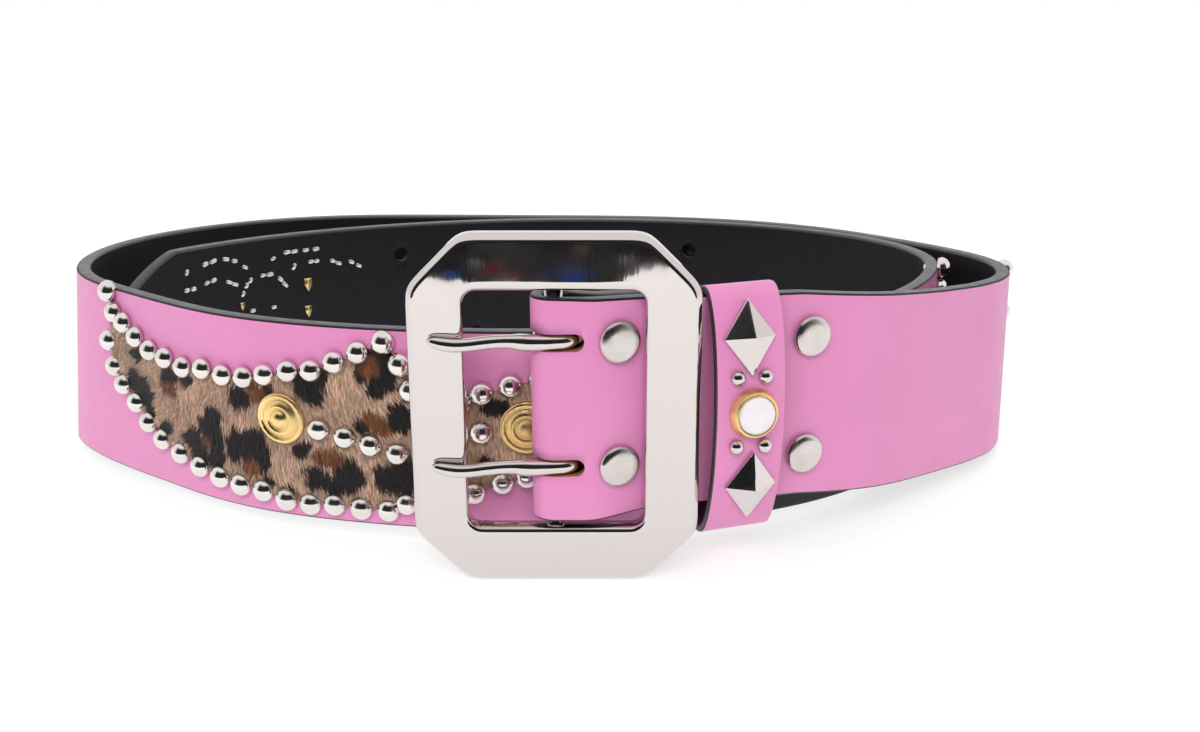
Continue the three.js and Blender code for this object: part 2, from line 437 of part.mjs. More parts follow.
// A stepped disc: rim, ring and raised middle.
function concho(name, at, z, base, fine) {
  const rim = [[0, 0], [CONCHO.radius, 0], [CONCHO.radius, 0.9]], middle = [[2.0, CONCHO.height], [0, CONCHO.height]];
  const ring = fine ? [[CONCHO.radius - 1.3, 1.6], [CONCHO.radius - 2.3, 1.2], [CONCHO.radius - 3.3, 2.2]] : [[CONCHO.radius - 3, 1.8]];
  const g = new THREE.LatheGeometry([...rim, ...ring, ...middle].map(([x, y]) => new THREE.Vector2(x, y)), fine ? 14 : 10);
  const s = stationAt(at), mesh = add(name, g, gold);
  mesh.position.copy(onStrap(s, base, z));
  mesh.rotation.z = Math.atan2(s.out[1], s.out[0]) - Math.PI / 2;
}
const rowsOf = (m) => [
  ["arch_left", spaced(ARCH.path, ARCH.count), ON_LEATHER],
  [m.endHigh ? "end_high" : "arch_right", spaced(mirrored(ARCH.path), ARCH.count).slice(m.endHigh ? -m.endHigh : 0), ON_LEATHER],
  ["dip", spaced([...DIP.path, ...mirrored(DIP.path).slice(1)], 2 * DIP.half - 1).slice(0, m.dipCount), ON_LEATHER],
  ["bottom", spaced([...BOTTOM.path, ...mirrored(BOTTOM.path).slice(1)], 2 * BOTTOM.half - 1).slice(0, m.bottomCount), ON_LEATHER],
  ["middle_left", spaced(MIDDLE.path, MIDDLE.count), ON_HIDE],
  ...(m.endLow
    ? [["end_low", spaced(mirrored(BOTTOM.path), BOTTOM.half).slice(-m.endLow), ON_LEATHER]]
    : [["middle_right", spaced(mirrored(MIDDLE.path), MIDDLE.count), ON_HIDE]]),
];
for (const m of MOTIFS) {
  for (const [row, studs, base] of rowsOf(m)) add(`studs_${m.name}_${row}`, studRow(studs, m.middle, base, m.fine), chrome);
  CONCHOS.filter((c) => c.d < m.stop).forEach((c, i) => concho(`concho_${m.name}_${i + 1}`, m.middle + c.d, c.z, ON_HIDE + 0.25, m.fine));
  const edge = [...HIDE, ...HIDE.slice(0, -1).map((p) => ({ ...p, d: -p.d })).reverse()].filter((p) => p.d <= m.stop);
  const rings = [];
  for (let i = 0; i + 1 < edge.length; i++) {
    const n = Math.max(1, Math.round((edge[i + 1].d - edge[i].d) / 6));
    for (let k = 0; k < n; k++) rings.push({ d: mix(edge[i].d, edge[i + 1].d, k / n), low: mix(edge[i].low, edge[i + 1].low, k / n), high: mix(edge[i].high, edge[i + 1].high, k / n) });
  }
  rings.push(edge[edge.length - 1]);
  add(`hide_${m.name}`, rightWayOut(loft(rings.map((r) => {
    const s = stationAt(m.middle + r.d);
    return [onStrap(s, HIDE_LOW, r.low), onStrap(s, HIDE_HIGH, r.low), onStrap(s, HIDE_HIGH, r.high), onStrap(s, HIDE_LOW, r.high)];
  }))), hide);
}
for (const r of TIP_ROWS) add(`studs_${r.name}`, studRow(spaced(r.path, r.count), 0, ON_LEATHER, false), chrome);
concho("concho_tip", TIP_CONCHO.d, TIP_CONCHO.z, ON_LEATHER + 0.3, false);

export default belt;
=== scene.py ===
# Studded belt: the looks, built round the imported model. Lengths in the tables are millimetres.
import math

import bpy
import numpy as np
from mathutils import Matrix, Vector


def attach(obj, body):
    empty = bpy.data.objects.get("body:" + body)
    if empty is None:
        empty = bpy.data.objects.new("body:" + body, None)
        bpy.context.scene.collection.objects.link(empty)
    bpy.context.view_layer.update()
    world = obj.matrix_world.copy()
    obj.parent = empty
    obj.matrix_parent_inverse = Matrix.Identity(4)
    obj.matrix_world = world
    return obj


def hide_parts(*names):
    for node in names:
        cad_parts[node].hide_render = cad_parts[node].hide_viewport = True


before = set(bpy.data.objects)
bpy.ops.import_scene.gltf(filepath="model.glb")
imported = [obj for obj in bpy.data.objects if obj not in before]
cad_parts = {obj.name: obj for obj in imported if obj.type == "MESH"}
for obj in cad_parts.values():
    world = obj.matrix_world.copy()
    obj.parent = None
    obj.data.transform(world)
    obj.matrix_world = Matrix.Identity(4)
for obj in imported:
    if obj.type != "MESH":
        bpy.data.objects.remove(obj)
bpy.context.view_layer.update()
MM = 0.001

# ---------------------------------------------------------------- sizes, as in the CAD
STRAP_WIDTH, HALF = 50.0, 1.9
BAR = (8.89, -87.09)
FOLD_RADIUS, FLAP_LENGTH, FLAP_SPACING = 4.45, 56.0, 4.2
TAIL_END, TIP_START, TIP_HALF = 1144.0, 1117.5, 10.4
BACK_Y, FLOOR_SLOPE = 89.21, 0.0311
ROW_LOW, ROW_HIGH = 10.8, 40.0
HOLE_FIRST, HOLE_PITCH, HOLE_COUNT, HOLE_RADIUS = 939.0, 25.1, 5, 2.4
BUCKLE_X, BUCKLE_W, BUCKLE_H, BUCKLE_C = 9.14, 64.5, 81.5, 12.0
BUCKLE_SIDE, BUCKLE_TOP, BUCKLE_LOW, WINDOW_R, BUCKLE_FRONT, BUCKLE_T = 12.3, 12.4, 13.6, 2.4, -91.49, 4.6
KEEPER_AT, KEEPER_W, KEEPER_WALL, KEEPER_TOP, KEEPER_BOTTOM, KEEPER_BULGE, KEEPER_BACK = 43.1, 17.0, 2.0, 68.5, 8.2, 10.2, -6.4
HIDE_LOW, HIDE_HIGH = HALF + 0.2, HALF + 0.9

# at, bend in degrees per 100 mm, lift of the lower edge, lean in degrees
ROUTE = np.array([
    (0, 323.73, 12.0, 0), (8, 156.9, 11.7, 0), (16, -40.09, 11.4, 0), (24, -50.6, 11.1, 0), (40, 25.73, 10.3, 0),
    (60, 33.32, 9.2, 0), (85, 72.68, 5.9, 0), (110, 0.62, 2.9, 0), (128, 9.35, 1.2, 0.8), (142, 103.38, 0.4, 1.5),
    (156, 172.23, 0, 1.5), (172, 177.79, 0, 1.5), (190, 55.3, 0, 0.8), (210, 10.38, 0, 0), (235, 62.12, 0, 0),
    (265, 54.73, 0, 0), (300, 33.26, 0, 0), (340, -2.59, 0, 0), (375, 4.4, 0, 0), (400, 53.09, 0, 0),
    (425, 77.59, 0, 0), (450, 72.55, 0, 1), (480, 94.38, 0, 4), (510, 94.65, 0, 6), (530, 109.01, 0, 6),
    (545, 88.65, 0, 4), (560, 12.62, 0, 3), (580, 10.25, 0, 1.5), (605, 67.02, 0, 0.5), (640, 30.81, 0, 0),
    (680, 35.1, 0, 0), (715, 35.27, 0, 0), (750, 55.4, 0, 0), (785, 67.55, 0, 0), (815, 46.52, 0, 0),
    (840, 129.99, 0, 0), (860, 121.84, 0, 0), (880, 71.6, 0, 0), (905, 62.1, 0, 0), (935, 37.65, 0, 0),
    (970, 35.86, 0, 0), (1005, 34.0, 0, 0), (1030, 36.0, 0, 0), (1060, 35.81, 0, 0), (1095, 47.33, 0, 0),
    (1145, 76.51, 0, 0)], float)


def walk_route():
    rows, x, y, heading = [], BAR[0], BAR[1] - FOLD_RADIUS, 0.0
    for at in range(int(TAIL_END) + 1):
        rows.append((at, x, y, heading))
        a, b = np.interp([at, at + 1], ROUTE[:, 0], ROUTE[:, 1])
        turn = math.radians((a + b) / 200)
        x += math.cos(heading + turn / 2)
        y += math.sin(heading + turn / 2)
        heading += turn
    return np.array(rows)


WALK = walk_route()


def smooth(t):
    t = np.clip(t, 0, 1)
    return t * t * (3 - 2 * t)


def station(at):
    """x, y, outward x, outward y, height of the lower edge, tangent of the lean, for lengths along the strap."""
    at = np.asarray(at, float)
    x, y, h = (np.interp(at, WALK[:, 0], WALK[:, k]) for k in (1, 2, 3))
    base = FLOOR_SLOPE * (BACK_Y - y) + np.interp(at, ROUTE[:, 0], ROUTE[:, 2])
    return np.stack([x, y, np.sin(h), -np.cos(h), base, np.tan(np.radians(np.interp(at, ROUTE[:, 0], ROUTE[:, 3])))], -1)


def fold_station(angle):
    a = np.radians(90 + np.asarray(angle, float))
    base = station(0)[4]
    return np.stack([BAR[0] + FOLD_RADIUS * np.cos(a), BAR[1] + FOLD_RADIUS * np.sin(a), np.cos(a), np.sin(a), base + 0 * a, 0 * a], -1)


def flap_station(f):
    s = station(f)
    gap = 2 * FOLD_RADIUS + (FLAP_SPACING - 2 * FOLD_RADIUS) * smooth(np.asarray(f, float) / 13)
    return np.stack([s[..., 0] - s[..., 2] * gap, s[..., 1] - s[..., 3] * gap, -s[..., 2], -s[..., 3], s[..., 4], 0 * gap], -1)


def place(st, o, z):
    """A point o outward from the strap's middle and z above its lower edge."""
    st, o, z = np.asarray(st, float), np.asarray(o, float), np.asarray(z, float)
    push = o + (STRAP_WIDTH - z) * st[..., 5]
    return np.stack([st[..., 0] + st[..., 2] * push, st[..., 1] + st[..., 3] * push, st[..., 4] + z], -1)


def on_strap(at, o, z):
    return place(station(at), o, z)


# ---------------------------------------------------------------- mesh helpers
def link(ob):
    bpy.context.scene.collection.objects.link(ob)
    return ob


def make(name, verts, faces, mats, face_mat=None, flat=False):
    me = bpy.data.meshes.new(name)
    me.from_pydata((np.asarray(verts, float) * MM).tolist(), [], [list(map(int, f)) for f in faces])
    for m in mats:
        me.materials.append(m)
    if face_mat is not None:
        me.polygons.foreach_set("material_index", np.asarray(face_mat, np.int32))
    me.polygons.foreach_set("use_smooth", np.full(len(me.polygons), not flat))
    me.update()
    return link(bpy.data.objects.new(name, me))


def shell(rings, closed_rings=False, cap=True, face_of=None):
    """Quads between rings of equally many points (R, K, 3). Returns verts, faces, material of each face."""
    rings = np.asarray(rings, float)
    r, k, _ = rings.shape
    verts = rings.reshape(-1, 3)
    faces, mats = [], []
    last = r if closed_rings else r - 1
    for i in range(last):
        j = (i + 1) % r
        for a in range(k):
            b = (a + 1) % k
            faces.append((i * k + a, i * k + b, j * k + b, j * k + a))
            mats.append(0 if face_of is None else face_of[a])
    if cap and not closed_rings:
        faces.append(tuple(range(k))[::-1])
        faces.append(tuple((r - 1) * k + a for a in range(k)))
        mats += [cap if isinstance(cap, int) and cap is not True else 0] * 2
    return verts, faces, mats


def fix_out(ob):
    """Turns the faces outward."""
    import bmesh
    bm = bmesh.new()
    bm.from_mesh(ob.data)
    bmesh.ops.recalc_face_normals(bm, faces=bm.faces)
    bm.to_mesh(ob.data)
    bm.free()
    return ob


def lathe(profile, n):
    """Points and quads of a turned shape round local z, from a list of (radius, height) that starts and ends on the axis."""
    prof = [p for p in profile]
    verts, faces = [], []
    rings = []
    for rad, h in prof:
        if rad < 1e-6:
            rings.append([len(verts)])
            verts.append((0, 0, h))
        else:
            rings.append(list(range(len(verts), len(verts) + n)))
            verts += [(rad * math.cos(2 * math.pi * i / n), rad * math.sin(2 * math.pi * i / n), h) for i in range(n)]
    for a, b in zip(rings, rings[1:]):
        for i in range(n):
            j = (i + 1) % n
            if len(a) == 1 and len(b) == 1:
                continue
            if len(a) == 1:
                faces.append((a[0], b[j], b[i]))
            elif len(b) == 1:
                faces.append((a[i], a[j], b[0]))
            else:
                faces.append((a[i], a[j], b[j], b[i]))
    return np.array(verts, float), faces


def frames(at, o, z):
    """Origin, along, up and out directions on the strap's skin."""
    p = on_strap(at, o, z)
    st = station(at)
    out = np.array([st[2], st[3], 0.0])
    up = np.array([0.0, 0.0, 1.0]) - np.array([st[2], st[3], 0.0]) * st[5]
    up /= np.linalg.norm(up)
    out = out + np.array([0, 0, st[5]])
    out /= np.linalg.norm(out)
    along = np.cross(up, out)
    return p, along, up, out


class Batch:
    """Collects many small shapes in one mesh."""

    def __init__(self):
        self.v, self.f, self.m, self.n = [], [], [], 0

    def add(self, verts, faces, mat=0):
        self.v.append(np.asarray(verts, float))
        self.f += [tuple(i + self.n for i in f) for f in faces]
        self.m += [mat] * len(faces)
        self.n += len(verts)

    def put(self, shape, p, x, y, z, mat=0, scale=1.0):
        v, f = shape
        self.add(p + scale * (v[:, :1] * x + v[:, 1:2] * y + v[:, 2:3] * z), f, mat)

    def object(self, name, mats, flat=False):
        return make(name, np.concatenate(self.v), self.f, mats, self.m, flat)


def done(ob, body, slot, *nodes):
    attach(ob, body)
    if nodes:
        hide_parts(*nodes)
    return ob


# ---------------------------------------------------------------- materials
def material(name, base, rough, metal=0.0):
    m = bpy.data.materials.new(name)
    m.use_nodes = True
    nt = m.node_tree
    b = nt.nodes["Principled BSDF"]
    b.inputs["Base Color"].default_value = (*base, 1)
    b.inputs["Roughness"].default_value = rough
    b.inputs["Metallic"].default_value = metal
    return m, nt, b


def node(nt, kind, **values):
    n = nt.nodes.new(kind)
    for k, v in values.items():
        if k in n.inputs:
            n.inputs[k].default_value = v
        else:
            setattr(n, k, v)
    return n


def noise(nt, scale, detail=4.0, rough=0.55, stretch=None):
    tc = node(nt, "ShaderNodeTexCoord")
    src = tc.outputs["Object"]
    if stretch:
        mp = node(nt, "ShaderNodeMapping")
        mp.inputs["Scale"].default_value = stretch
        nt.links.new(src, mp.inputs["Vector"])
        src = mp.outputs["Vector"]
    n = node(nt, "ShaderNodeTexNoise", Scale=scale, Detail=detail, Roughness=rough)
    nt.links.new(src, n.inputs["Vector"])
    return n


def ramp(nt, src, stops):
    r = node(nt, "ShaderNodeValToRGB")
    e = r.color_ramp.elements
    while len(e) < len(stops):
        e.new(0.5)
    for el, (pos, col) in zip(e, stops):
        el.position = pos
        el.color = (*col, 1) if len(col) == 3 else col
    nt.links.new(src, r.inputs["Fac"])
    return r


def span(nt, src, lo, hi, a=0.0, b=1.0):
    r = node(nt, "ShaderNodeMapRange")
    for k, v in (("From Min", lo), ("From Max", hi), ("To Min", a), ("To Max", b)):
        r.inputs[k].default_value = v
    nt.links.new(src, r.inputs["Value"])
    return r


def bump(nt, b, height, strength, distance, chain=None):
    n = node(nt, "ShaderNodeBump", Strength=strength, Distance=distance)
    nt.links.new(height, n.inputs["Height"])
    if chain is not None:
        nt.links.new(chain.outputs["Normal"], n.inputs["Normal"])
    nt.links.new(n.outputs["Normal"], b.inputs["Normal"])
    return n


def leather(name, base, dark, rough, grain=0.22, spec=0.4):
    """Smooth finished leather: faint mottling, fine pores, soft broad unevenness."""
    m, nt, b = material(name, base, rough)
    big = noise(nt, 45.0, 3.0)
    r = ramp(nt, big.outputs["Fac"], [(0.25, dark), (0.75, base)])
    nt.links.new(r.outputs["Color"], b.inputs["Base Color"])
    fine = noise(nt, 2600.0, 2.0)
    pores = node(nt, "ShaderNodeTexVoronoi", Scale=1500.0)
    tc = node(nt, "ShaderNodeTexCoord")
    nt.links.new(tc.outputs["Object"], pores.inputs["Vector"])
    b1 = bump(nt, b, fine.outputs["Fac"], grain, 0.00006)
    b2 = bump(nt, b, pores.outputs["Distance"], grain, 0.00008, b1)
    wave = noise(nt, 60.0, 2.0)
    bump(nt, b, wave.outputs["Fac"], 0.25, 0.0006, b2)
    rr = span(nt, noise(nt, 300.0, 3.0).outputs["Fac"], 0.3, 0.7, rough - 0.05, rough + 0.07)
    nt.links.new(rr.outputs["Result"], b.inputs["Roughness"])
    b.inputs["Specular IOR Level"].default_value = spec
    return m


def polished(name, base, rough, wave=0.04, wave_scale=40.0, smear=None):
    """Polished metal with faint casting waves and fine scratches."""
    m, nt, b = material(name, base, rough, 1.0)
    w = noise(nt, wave_scale, 2.0)
    b1 = bump(nt, b, w.outputs["Fac"], wave, 0.004)
    sc = noise(nt, 900.0, 3.0, stretch=(1.0, 1.0, 0.12))
    bump(nt, b, sc.outputs["Fac"], 0.02, 0.0002, b1)
    rr = span(nt, noise(nt, 150.0, 4.0).outputs["Fac"], 0.35, 0.7, rough * 0.6, rough * 1.6)
    nt.links.new(rr.outputs["Result"], b.inputs["Roughness"])
    if smear:
        r = ramp(nt, noise(nt, 130.0, 3.0).outputs["Fac"], [(0.35, smear), (0.65, base)])
        nt.links.new(r.outputs["Color"], b.inputs["Base Color"])
    return m


PINK = leather("pink_leather", (0.755, 0.262, 0.52), (0.715, 0.242, 0.488), 0.42, 0.2, 0.6)
# painted shade: the keeper's inside face is the pink darkened to a dark purple, as it looks in shadow
KEEPER_INSIDE_SHADE = leather("keeper_inside_shade", (0.17, 0.03, 0.10), (0.13, 0.02, 0.08), 0.6)
LINING = leather("black_lining", (0.0085, 0.0083, 0.0115), (0.0065, 0.0064, 0.009), 0.6, 0.3, 0.3)
EDGE = leather("painted_edge", (0.040, 0.036, 0.044), (0.028, 0.025, 0.031), 0.36, 0.3, 0.7)
RAW_EDGE = leather("raw_edge", (0.36, 0.16, 0.07), (0.26, 0.11, 0.045), 0.7)
# the darkest paint: black edge paint on the face-side corner, darker there than the rest of the edge as painted shade
# along the turn, and painted shade on the inner turn's low band
LINE_PAINT_AND_SHADE = leather("edge_line_and_painted_shade", (0.012, 0.010, 0.013), (0.009, 0.008, 0.010), 0.5, 0.3, 0.4)
CHROME = polished("buckle_metal", (0.69, 0.642, 0.624), 0.035, 0.006, 60.0)
STUD = polished("stud_metal", (0.84, 0.805, 0.775), 0.13, 0.03, 90.0, (0.76, 0.72, 0.685))
SATIN = polished("rivet_metal", (0.71, 0.66, 0.63), 0.27, 0.01, 60.0, (0.64, 0.595, 0.565))
GOLD = polished("gold_metal", (1.0, 0.78, 0.38), 0.3, 0.03, 80.0, (0.93, 0.68, 0.28))
LEG = polished("leg_metal", (1.0, 1.0, 1.0), 0.5, 0.03, 80.0, (0.92, 0.92, 0.92))


def stone_material():
    m, nt, b = material("milky_stone", (0.86, 0.80, 0.84), 0.12)
    r = ramp(nt, noise(nt, 260.0, 3.0).outputs["Fac"], [(0.3, (0.80, 0.74, 0.80)), (0.7, (0.88, 0.84, 0.86))])
    nt.links.new(r.outputs["Color"], b.inputs["Base Color"])
    b.inputs["Subsurface Weight"].default_value = 0.3
    b.inputs["Subsurface Radius"].default_value = (0.002, 0.0018, 0.0018)
    b.inputs["Subsurface Scale"].default_value = 1.0
    b.inputs["Coat Weight"].default_value = 0.5
    bump(nt, b, noise(nt, 500.0, 2.0).outputs["Fac"], 0.02, 0.0003)
    return m


STONE = stone_material()


def hair_material():
    """Short hair: the vertex colour holds the printed spots, and noise breaks it into strands."""
    m, nt, b = material("leopard_hide", (0.5, 0.3, 0.2), 0.55)
    a = node(nt, "ShaderNodeVertexColor", layer_name="tint")
    n = noise(nt, 1100.0, 3.0, stretch=(1.0, 1.0, 0.35))
    r = ramp(nt, n.outputs["Fac"], [(0.3, (0.62, 0.60, 0.60)), (0.7, (1.16, 1.14, 1.12))])
    mx = node(nt, "ShaderNodeMix", data_type="RGBA", blend_type="MULTIPLY")
    mx.inputs[0].default_value = 1.0
    nt.links.new(a.outputs["Color"], mx.inputs[6])
    nt.links.new(r.outputs["Color"], mx.inputs[7])
    nt.links.new(mx.outputs[2], b.inputs["Base Color"])
    bump(nt, b, n.outputs["Fac"], 0.4, 0.0002)
    b.inputs["Specular IOR Level"].default_value = 0.35
    b.inputs["Sheen Weight"].default_value = 0.12
    return m


HIDE = hair_material()


# ---------------------------------------------------------------- strap
def strap_stations():
    flap_at = np.arange(FLAP_LENGTH, 0.2, -1.4)
    flap, fold = flap_station(flap_at), fold_station(np.arange(0, 180, 7.5))
    body_at = np.concatenate([np.arange(0, 24, 1.0), np.arange(24, TIP_START, 1.6)])
    body = station(body_at)
    tip_at = np.concatenate([np.arange(TIP_START, TAIL_END - 0.6, 1.2), [TAIL_END - 0.35, TAIL_END]])
    tip = station(tip_at)
    half = np.full(len(flap) + len(fold) + len(body), STRAP_WIDTH / 2)
    t = (tip_at - TIP_START) / (TAIL_END - TIP_START)
    tip_half = STRAP_WIDTH / 2 + (TIP_HALF - STRAP_WIDTH / 2) * (0.25 * t + 0.75 * t ** 1.35)
    tip_half[-1] -= 1.0
    at = np.concatenate([-flap_at, 0 * fold[:, 0], body_at, tip_at])
    return np.concatenate([flap, fold, body, tip]), np.concatenate([half, tip_half]), at


def strap_profile(h, skive=0.0, sag=0.0, trim=0.0):
    """Section as (o, z) with the material of the stretch that follows each point. 0 face, 1 edge, 2 lining."""
    e, g, mid, pts = 0.75, 0.45, STRAP_WIDTH / 2, []
    for z in np.linspace(-h + g, h - g, 13):
        pts.append((HALF, z, 0))
    # kind 4, the face-side corner: black edge paint, darker than the rest of the edge as painted shade along the turn
    pts[-1] = (HALF, h - g, 4)
    for a in (22.5, 45, 67.5, 90):
        pts.append((HALF - g + g * math.cos(math.radians(a)), h - g + g * math.sin(math.radians(a)), 4 if a < 80 else 1))
    pts.append((0.0, h + 0.06, 1))
    for a in (90, 112.5, 135, 157.5):
        pts.append((-HALF + e + e * math.cos(math.radians(a)), h - e + e * math.sin(math.radians(a)), 1))
    for z in np.linspace(h - e, -h + e, 11):
        pts.append((-HALF, z, 2))
    pts[-1] = (-HALF, -h + e, 1)
    for a in (202.5, 225, 247.5, 270):
        pts.append((-HALF + e + e * math.cos(math.radians(a)), -h + e + e * math.sin(math.radians(a)), 1))
    pts.append((0.0, -h - 0.02, 1))
    for a in (270, 292.5, 315, 337.5):
        pts.append((HALF - g + g * math.cos(math.radians(a)), -h + g + g * math.sin(math.radians(a)), 1))
    return [(-HALF + (o + HALF) * (1 - 0.32 * skive), z + mid - sag * (h - z) / (2 * h) - trim * (h + z) / (2 * h), k) for o, z, k in pts]


def boolean(ob, cutter, operation="DIFFERENCE"):
    mod = ob.modifiers.new("cut", "BOOLEAN")
    mod.operation, mod.solver, mod.object = operation, "EXACT", cutter
    bpy.context.view_layer.update()
    dg = bpy.context.evaluated_depsgraph_get()
    me = bpy.data.meshes.new_from_object(ob.evaluated_get(dg))
    ob.modifiers.clear()
    old = ob.data
    ob.data = me
    me.name = ob.name
    bpy.data.meshes.remove(old)
    bpy.data.objects.remove(cutter)
    return ob


def build_strap():
    sts, half, at = strap_stations()
    rings, kinds = [], None
    for st, h, q in zip(sts, half, at):
        prof = strap_profile(h, 1 - float(smooth((abs(q) - 2.0) / 8.0)), 2.1 * (1 - float(smooth((abs(q) - 4.0) / 24.0))), 2.0 * float(smooth((-q - 24.0) / 8.0)))
        kinds = [k for _, _, k in prof]
        rings.append(place(st[None, :], np.array([p[0] for p in prof]), np.array([p[1] for p in prof])))
    verts, faces, mats = shell(rings, face_of=kinds)
    mats[-2:] = [1, 1]
    # painted shade: the inner turn's lowest band is painted dark where it shows, in shadow, under the buckle end
    per = len(kinds)
    for i, q in enumerate(at[:-1]):
        if 737 < q < 800:
            for a in range(per):
                if kinds[a] == 0 and a < 3:
                    mats[i * per + a] = 4
    ob = make("strap", verts, faces, [PINK, EDGE, LINING, RAW_EDGE, LINE_PAINT_AND_SHADE], mats)
    fix_out(ob)
    cut = Batch()
    for i in range(HOLE_COUNT):
        for z in (ROW_LOW, ROW_HIGH):
            p, x, y, n = frames(HOLE_FIRST + i * HOLE_PITCH, 0.0, z)
            v, f = lathe([(0, -4), (HOLE_RADIUS, -4), (HOLE_RADIUS, 4), (0, 4)], 28)
            cut.put((v, f), p, x, y, n, 1)
    for z in (ROW_LOW, ROW_HIGH):
        cx, cz, half_len, r = BAR[0] - 1.4, station(0)[4] + z, 8.2, 2.0
        ring = []
        for k in range(24):
            a = -math.pi / 2 + math.pi * k / 11 if k < 12 else math.pi / 2 + math.pi * (k - 12) / 11
            sx = half_len - r if k < 12 else -(half_len - r)
            ring.append((cx + sx + r * math.cos(a), cz + r * math.sin(a)))
        v = [(x, BAR[1] - 9.0, zz) for x, zz in ring] + [(x, BAR[1] + 9.0, zz) for x, zz in ring]
        n = len(ring)
        f = [(i, (i + 1) % n, n + (i + 1) % n, n + i) for i in range(n)] + [tuple(range(n))[::-1], tuple(range(n, 2 * n))]
        cut.add(v, f, 3)
    cutter = fix_out(cut.object("cutter", [PINK, EDGE, LINING, RAW_EDGE]))
    boolean(ob, cutter)
    return done(ob, "belt", "pink_leather", "strap_face", "strap_lining")


strap = build_strap()


# ---------------------------------------------------------------- buckle
def smooth_loop(p, passes):
    for _ in range(passes):
        p = 0.25 * np.roll(p, 1, 0) + 0.5 * p + 0.25 * np.roll(p, -1, 0)
    return p


def buckle_loops():
    """Matched outer and inner outlines of the frame, as (x, z) from its middle."""
    w, h, c = BUCKLE_W / 2, BUCKLE_H / 2, BUCKLE_C
    ww, wh, wl, r = w - BUCKLE_SIDE, h - BUCKLE_TOP, h - BUCKLE_LOW, WINDOW_R + 0.6
    outer, inner = [], []
    for sx, sz, first in ((1, 1, "z"), (-1, 1, "x"), (-1, -1, "z"), (1, -1, "x")):
        a0 = {(1, 1): 0, (-1, 1): 90, (-1, -1): 180, (1, -1): 270}[(sx, sz)]
        # straight stretch before this corner, then the corner
        if first == "z":
            p0, p1 = (sx * w, -sz * (h - c)), (sx * w, sz * (h - c))
            q0, q1 = ((sx * ww, r - wl), (sx * ww, wh - r)) if sz > 0 else ((sx * ww, wh - r), (sx * ww, r - wl))
            n = 44
        else:
            p0, p1 = (-sx * (w - c), sz * h), (sx * (w - c), sz * h)
            q0, q1 = (-sx * (ww - r), wh if sz > 0 else -wl), (sx * (ww - r), wh if sz > 0 else -wl)
            n = 32
        for t in np.arange(n) / n:
            outer.append((p0[0] + (p1[0] - p0[0]) * t, p0[1] + (p1[1] - p0[1]) * t))
            inner.append((q0[0] + (q1[0] - q0[0]) * t, q0[1] + (q1[1] - q0[1]) * t))
        e0 = p1
        e1 = (sx * (w - c), sz * h) if first == "z" else (sx * w, sz * (h - c))
        for t in np.arange(14) / 14:
            outer.append((e0[0] + (e1[0] - e0[0]) * t, e0[1] + (e1[1] - e0[1]) * t))
            a = math.radians(a0 + 90 * t)
            inner.append((sx * (ww - r) + r * math.cos(a), (wh - r if sz > 0 else r - wl) + r * math.sin(a)))
    return smooth_loop(np.array(outer), 5), smooth_loop(np.array(inner), 2)


# across the bar: f from the outer edge (0) to the window (1), and the setback from the front plane
BAR_SECTION = [(0.03, 4.6), (0.0, 4.2), (0.0, 1.75), (0.004, 1.58), (0.016, 1.38), (0.045, 0.9), (0.074, 0.42), (0.088, 0.21), (0.104, 0.085), (0.124, 0.02), (0.145, 0.0),
               (0.17, 0.0), (0.35, 0.0), (0.6, 0.0), (0.82, 0.0), (0.86, 0.0), (0.89, 0.012), (0.92, 0.06), (0.948, 0.17), (0.97, 0.34), (0.987, 0.62), (1.0, 1.05), (1.0, 4.2), (0.975, 4.6)]


def build_buckle():
    outer, inner = buckle_loops()
    rings = []
    for f, d in BAR_SECTION:
        xz = outer + (inner - outer) * f
        rings.append(np.stack([BUCKLE_X + xz[:, 0], np.full(len(xz), BUCKLE_FRONT + d), BUCKLE_H / 2 + xz[:, 1]], -1))
    verts, faces, mats = shell(rings, closed_rings=True)
    b = Batch()
    b.add(verts, faces)
    z0, z1, n = BUCKLE_TOP - 1.0, BUCKLE_H - BUCKLE_TOP + 1.0, 24
    v = [(BAR[0] + 2.0 * math.cos(2 * math.pi * i / n), BAR[1] + 2.0 * math.sin(2 * math.pi * i / n), z) for z in (z0, z1) for i in range(n)]
    f = [(i, (i + 1) % n, n + (i + 1) % n, n + i) for i in range(n)] + [tuple(range(n))[::-1], tuple(range(n, 2 * n))]
    b.add(v, f)
    return done(fix_out(b.object("buckle", [CHROME])), "belt", "buckle_metal", "buckle_frame")


buckle = build_buckle()

# prongs: run toward the tip, front of the bar, half thickness, sag of the shank's middle below its row
PRONG = [(-4.6, 1.0, 1.0, 0), (-4.2, 2.6, 1.25, 0), (-2.6, 3.6, 1.45, 0), (-0.5, 4.0, 1.5, 0), (2.5, 4.0, 1.62, -0.1), (5.5, 4.4, 1.72, 0.0), (7.6, 4.9, 1.66, 0.3), (9.2, 5.4, 1.42, 0.55), (12, 6.0, 1.34, 0.7),
         (15, 6.3, 1.34, 0.5), (18, 6.35, 1.34, 0.1), (21, 6.2, 1.4, -0.1), (23.5, 6.05, 1.35, 0.1), (25.4, 5.9, 1.15, 0.45), (26.6, 5.8, 0.8, 0.75), (27.2, 5.75, 0.3, 0.95)]


